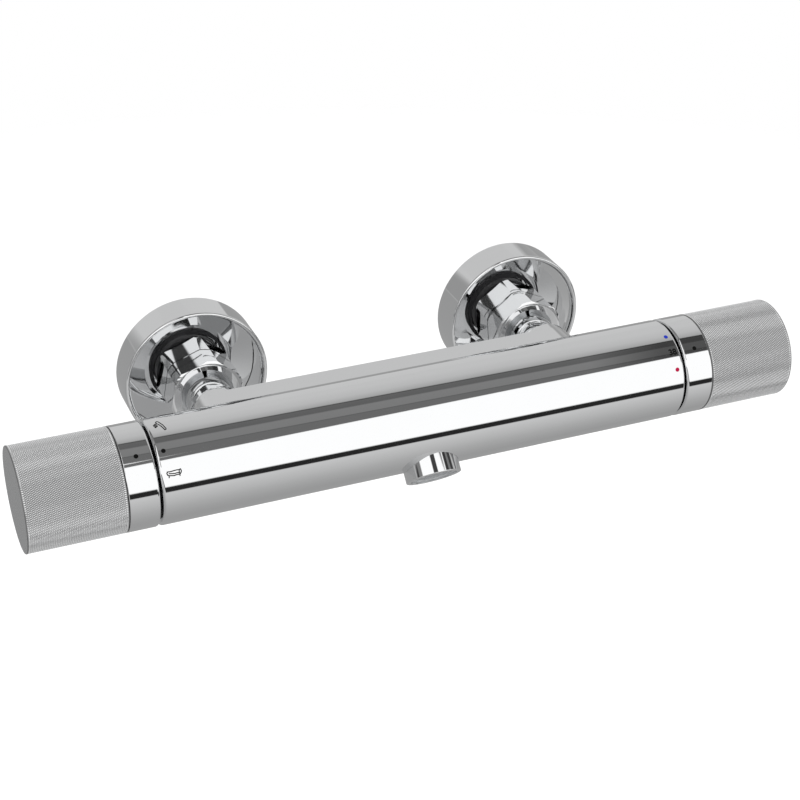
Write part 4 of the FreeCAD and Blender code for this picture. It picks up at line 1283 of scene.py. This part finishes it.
# Studio
@dataclass
class Studio:
    """Camera, pale floor, soft lamps and the light cards that polished metal mirrors.

    A mirrored ray's pitch is its angle about the bar from straight forward, upwards, and its heading
    is its angle about +Z from straight forward, towards +X, both in degrees.

    Attributes:
        reflectance: chrome's own grey, by which the cards are made brighter.
        skew: degrees by which the low and the high cards lean per unit of the ray's X.
        skew_centre: X of the ray at which they lean by nothing.
        low_cards: pitch below which the first skew holds.
        high_cards: pitches between which the second skew holds.
        front_card: pitches of the card that hangs aside of the open front.
        window_card: pitches of the card that shows only through the window.
        rear_card: pitches of the card behind the bar.
        flag_card: pitches of the cards that the dark flag at the right covers.
        flag: X of the ray where the flag starts and where it is full.
        around: grey levels by pitch.
        across: grey levels by heading.
        floor_fade: distances from the origin at which the floor starts to fade and is gone.
        lamps: each lamp's name, place, side and power.
    """

    camera_place: Point = (-0.24293, -0.65939, 0.37115)
    camera_right: Point = (0.9264, -0.3765, 0.0)
    camera_up: Point = (0.1856, 0.4567, 0.8700)
    camera_back: Point = (-0.3276, -0.8060, 0.4930)
    lens: float = 79.15
    clip_start: float = 0.01
    floor_height: float = -0.34
    floor_radius: float = 1.6
    floor_greys: tuple[float, float] = (250.0, 254.0)
    floor_fade: tuple[float, float] = (0.6, 1.3)
    reflectance: float = 0.84
    skew: tuple[float, float] = (30.0, 50.0)
    skew_centre: float = 0.33
    window: tuple[float, float] = (11.0, 47.0)
    open_front: tuple[float, float] = (-70.0, 70.0)
    flag: tuple[float, float] = (0.43, 0.465)
    flag_depth: float = 0.6
    low_cards: float = 20.0
    high_cards: tuple[float, float] = (58.0, 140.0)
    front_card: tuple[float, float] = (-9.8, 38.0)
    window_card: tuple[float, float] = (38.0, 66.0)
    rear_card: tuple[float, float] = (152.0, 177.0)
    flag_card: tuple[float, float] = (50.7, 99.9)
    around: tuple[tuple[float, float], ...] = (
        (-94.0, 151), (-80.0, 156), (-62.0, 166), (-45.0, 179), (-33.0, 187), (-22.4, 195),
        (-21.5, 36), (-10.4, 36), (-9.2, 253), (51.2, 253), (52.2, 102), (65.4, 102), (66.0, 50),
        (66.8, 120), (84.4, 122), (85.0, 92), (97.6, 96), (98.2, 46), (99.6, 46), (100.4, 160),
        (115.0, 182), (135.0, 190), (176.0, 190), (178.0, 148), (265.9, 150),
    )
    across: tuple[tuple[float, float], ...] = (
        (-180.0, 192), (-153.0, 192), (-150.0, 145), (-99.0, 145), (-97.0, 60), (-86.0, 60),
        (-84.0, 120), (-74.0, 120), (-72.0, 253), (-23.0, 253), (-20.0, 62), (4.0, 62), (7.0, 253),
        (50.0, 253), (53.0, 60), (63.0, 45), (66.0, 115), (103.0, 115), (110.0, 200), (135.0, 200),
        (146.0, 145), (149.0, 192), (180.0, 192),
    )
    lamps: tuple[tuple[str, Point, float, float], ...] = (
        ("key_lamp", (-0.6, -0.9, 1.2), 0.9, 9.0),
        ("fill_lamp", (0.9, -0.6, 0.6), 0.9, 4.0),
    )

    def camera(self) -> None:
        """Place the camera where the photograph was taken from."""
        data = bpy.data.cameras.new("camera")
        data.lens = self.lens
        data.sensor_width = 36.0
        data.clip_start = self.clip_start
        made = bpy.data.objects.new("camera", data)
        bpy.context.scene.collection.objects.link(made)
        axes = (self.camera_right, self.camera_up, self.camera_back)
        turn = Matrix(axes).transposed().to_4x4()
        made.matrix_world = Matrix.Translation(self.camera_place) @ turn
        bpy.context.scene.camera = made

    def _ramp(self, graph: Graph, angle: Signal, first: float,
              stops: Sequence[tuple[float, float]]) -> Signal:
        """Grey level by angle.

        Args:
            graph: the world's nodes.
            angle: the angle in degrees, from first to first + 360.
            first: the lowest angle.
            stops: (angle, display level) pairs.

        Returns:
            The light's colour.
        """
        places = [((at - first) / 360.0, grey(level, 1.0 / self.reflectance)) for at, level in stops]
        return graph.add("ShaderNodeValToRGB", {"stops": places}, {"Fac": (angle - first) / 360.0})

    @staticmethod
    def _angle(graph: Graph, rise: Signal, forward: Signal) -> Signal:
        """Angle of a direction from straight forward, in degrees.

        Args:
            graph: the world's nodes.
            rise: the direction's part across.
            forward: its part straight forward.

        Returns:
            The angle, from -180 to 180.
        """
        turned = graph.add("ShaderNodeMath", {"operation": "ARCTAN2"}, {0: rise, 1: forward})
        return turned * (180.0 / math.pi)

    def world(self) -> None:
        """Light cards by direction for polished metal, and white for all else."""
        world = bpy.data.worlds.new("studio")
        world.use_nodes = True
        bpy.context.scene.world = world
        graph = Graph(world.node_tree)
        way = graph.add("ShaderNodeTexCoord", output="Generated")
        split = graph.add("ShaderNodeSeparateXYZ", {}, {"Vector": way})
        x, y, z = (Signal(graph, split.socket.node.outputs[index]) for index in range(3))
        front = y * -1.0
        pitch = self._angle(graph, z, front)
        first = self.around[0][0]
        pitch = pitch + (first - pitch).above(0.0) * 360.0
        low = (self.low_cards - pitch).above(0.0) * self.skew[0]
        high = pitch.within(self.high_cards) * self.skew[1]
        pitch = pitch + (low + high) * (x - self.skew_centre)
        heading = self._angle(graph, x, front)
        rounds = self._ramp(graph, pitch, first, self.around)
        sides = self._ramp(graph, heading, -180.0, self.across)
        to_sides = pitch.within(self.front_card) * heading.outside(self.open_front)
        to_sides = to_sides + pitch.within(self.window_card) * heading.outside(self.window)
        to_sides = to_sides + pitch.within(self.rear_card)
        flagged = graph.add("ShaderNodeMapRange", {}, {
            "Value": x, "From Min": self.flag[0], "From Max": self.flag[1], "To Max": self.flag_depth})
        rounds = graph.blend(flagged * pitch.within(self.flag_card), rounds, BLACK)
        mirrored = graph.add("ShaderNodeLightPath", output="Is Glossy Ray")
        colour = graph.blend(mirrored, WHITE, graph.blend(to_sides, rounds, sides))
        background = graph.add("ShaderNodeBackground", {}, {"Color": colour, "Strength": 1.0})
        graph.add("ShaderNodeOutputWorld", {}, {"Surface": background})

    def floor(self) -> None:
        """A wide pale floor that keeps a faint shadow."""
        mesh = bmesh.new()
        bmesh.ops.create_circle(mesh, cap_ends=True, segments=64, radius=self.floor_radius)
        bmesh.ops.translate(mesh, verts=mesh.verts[:], vec=UP * self.floor_height)
        made = plain_object("floor", mesh)
        material = bpy.data.materials.new("pale_floor")
        material.use_nodes = True
        graph = Graph(material.node_tree)
        dark, light = (grey(level) for level in self.floor_greys)
        shadowed = graph.add("ShaderNodeBsdfPrincipled", {}, {
            "Base Color": graph.blend(graph.noise(4.0), dark, light), "Roughness": 0.9,
            "Specular IOR Level": 0.0})
        clear = graph.add("ShaderNodeBsdfTransparent")
        seen = graph.add("ShaderNodeLightPath", output="Is Camera Ray")
        place = graph.add("ShaderNodeTexCoord", output="Object")
        reach = graph.add("ShaderNodeVectorMath", {"operation": "LENGTH"}, {0: place}, output="Value")
        near = graph.add("ShaderNodeMapRange", {}, {
            "Value": reach, "From Min": self.floor_fade[0], "From Max": self.floor_fade[1],
            "To Min": 1.0, "To Max": 0.0})
        surface = graph.add("ShaderNodeMixShader", {}, {0: seen * near, 1: clear, 2: shadowed})
        graph.add("ShaderNodeOutputMaterial", {}, {"Surface": surface})
        made.data.materials.append(material)

    def lamp(self, name: str, place: Point, size: float, power: float) -> None:
        """A soft square lamp aimed at the bar, which the metal doesn't mirror.

        Args:
            name: its name.
            place: where it hangs.
            size: its side.
            power: its power in watts.
        """
        data = bpy.data.lights.new(name, "AREA")
        data.size = size
        data.energy = power
        made = bpy.data.objects.new(name, data)
        bpy.context.scene.collection.objects.link(made)
        made.location = place
        made.rotation_euler = (BAR - Vector(place)).to_track_quat("-Z", "Y").to_euler()
        made.visible_glossy = False

    def build(self) -> None:
        """Set the whole studio up."""
        bpy.context.scene.view_settings.view_transform = "Standard"
        self.camera()
        self.world()
        self.floor()
        for name, place, size, power in self.lamps:
            self.lamp(name, place, size, power)


def dress_nodes() -> None:
    """Give every CAD node that still shows the finish of its slot."""
    slots = {item["node"]: item["material_slot"] for item in frame["record"]["subparts"]}
    for name, node in frame["nodes"].items():
        finish = NODE_FINISHES[slots[name]]
        for holder in node.material_slots:
            holder.material = finish.material()
    log.info("dressed %d nodes", len(frame["nodes"]))


def main() -> None:
    """Build the studio, then every sub-assembly in order."""
    logging.basicConfig(level=logging.INFO, format="%(name)s: %(message)s")
    Studio().build()
    dress_nodes()
    assemblies = (MixerBody(), BathOutlet(), HoseOutlet(),
                  InletConnection("hot", -1, 40.7), InletConnection("cold", 1, 25.0),
                  Handle("temperature", 1), Handle("flow", -1), Marks())
    for assembly in assemblies:
        for piece in assembly.build():
            piece.build()


if __name__ == "__main__":
    main()
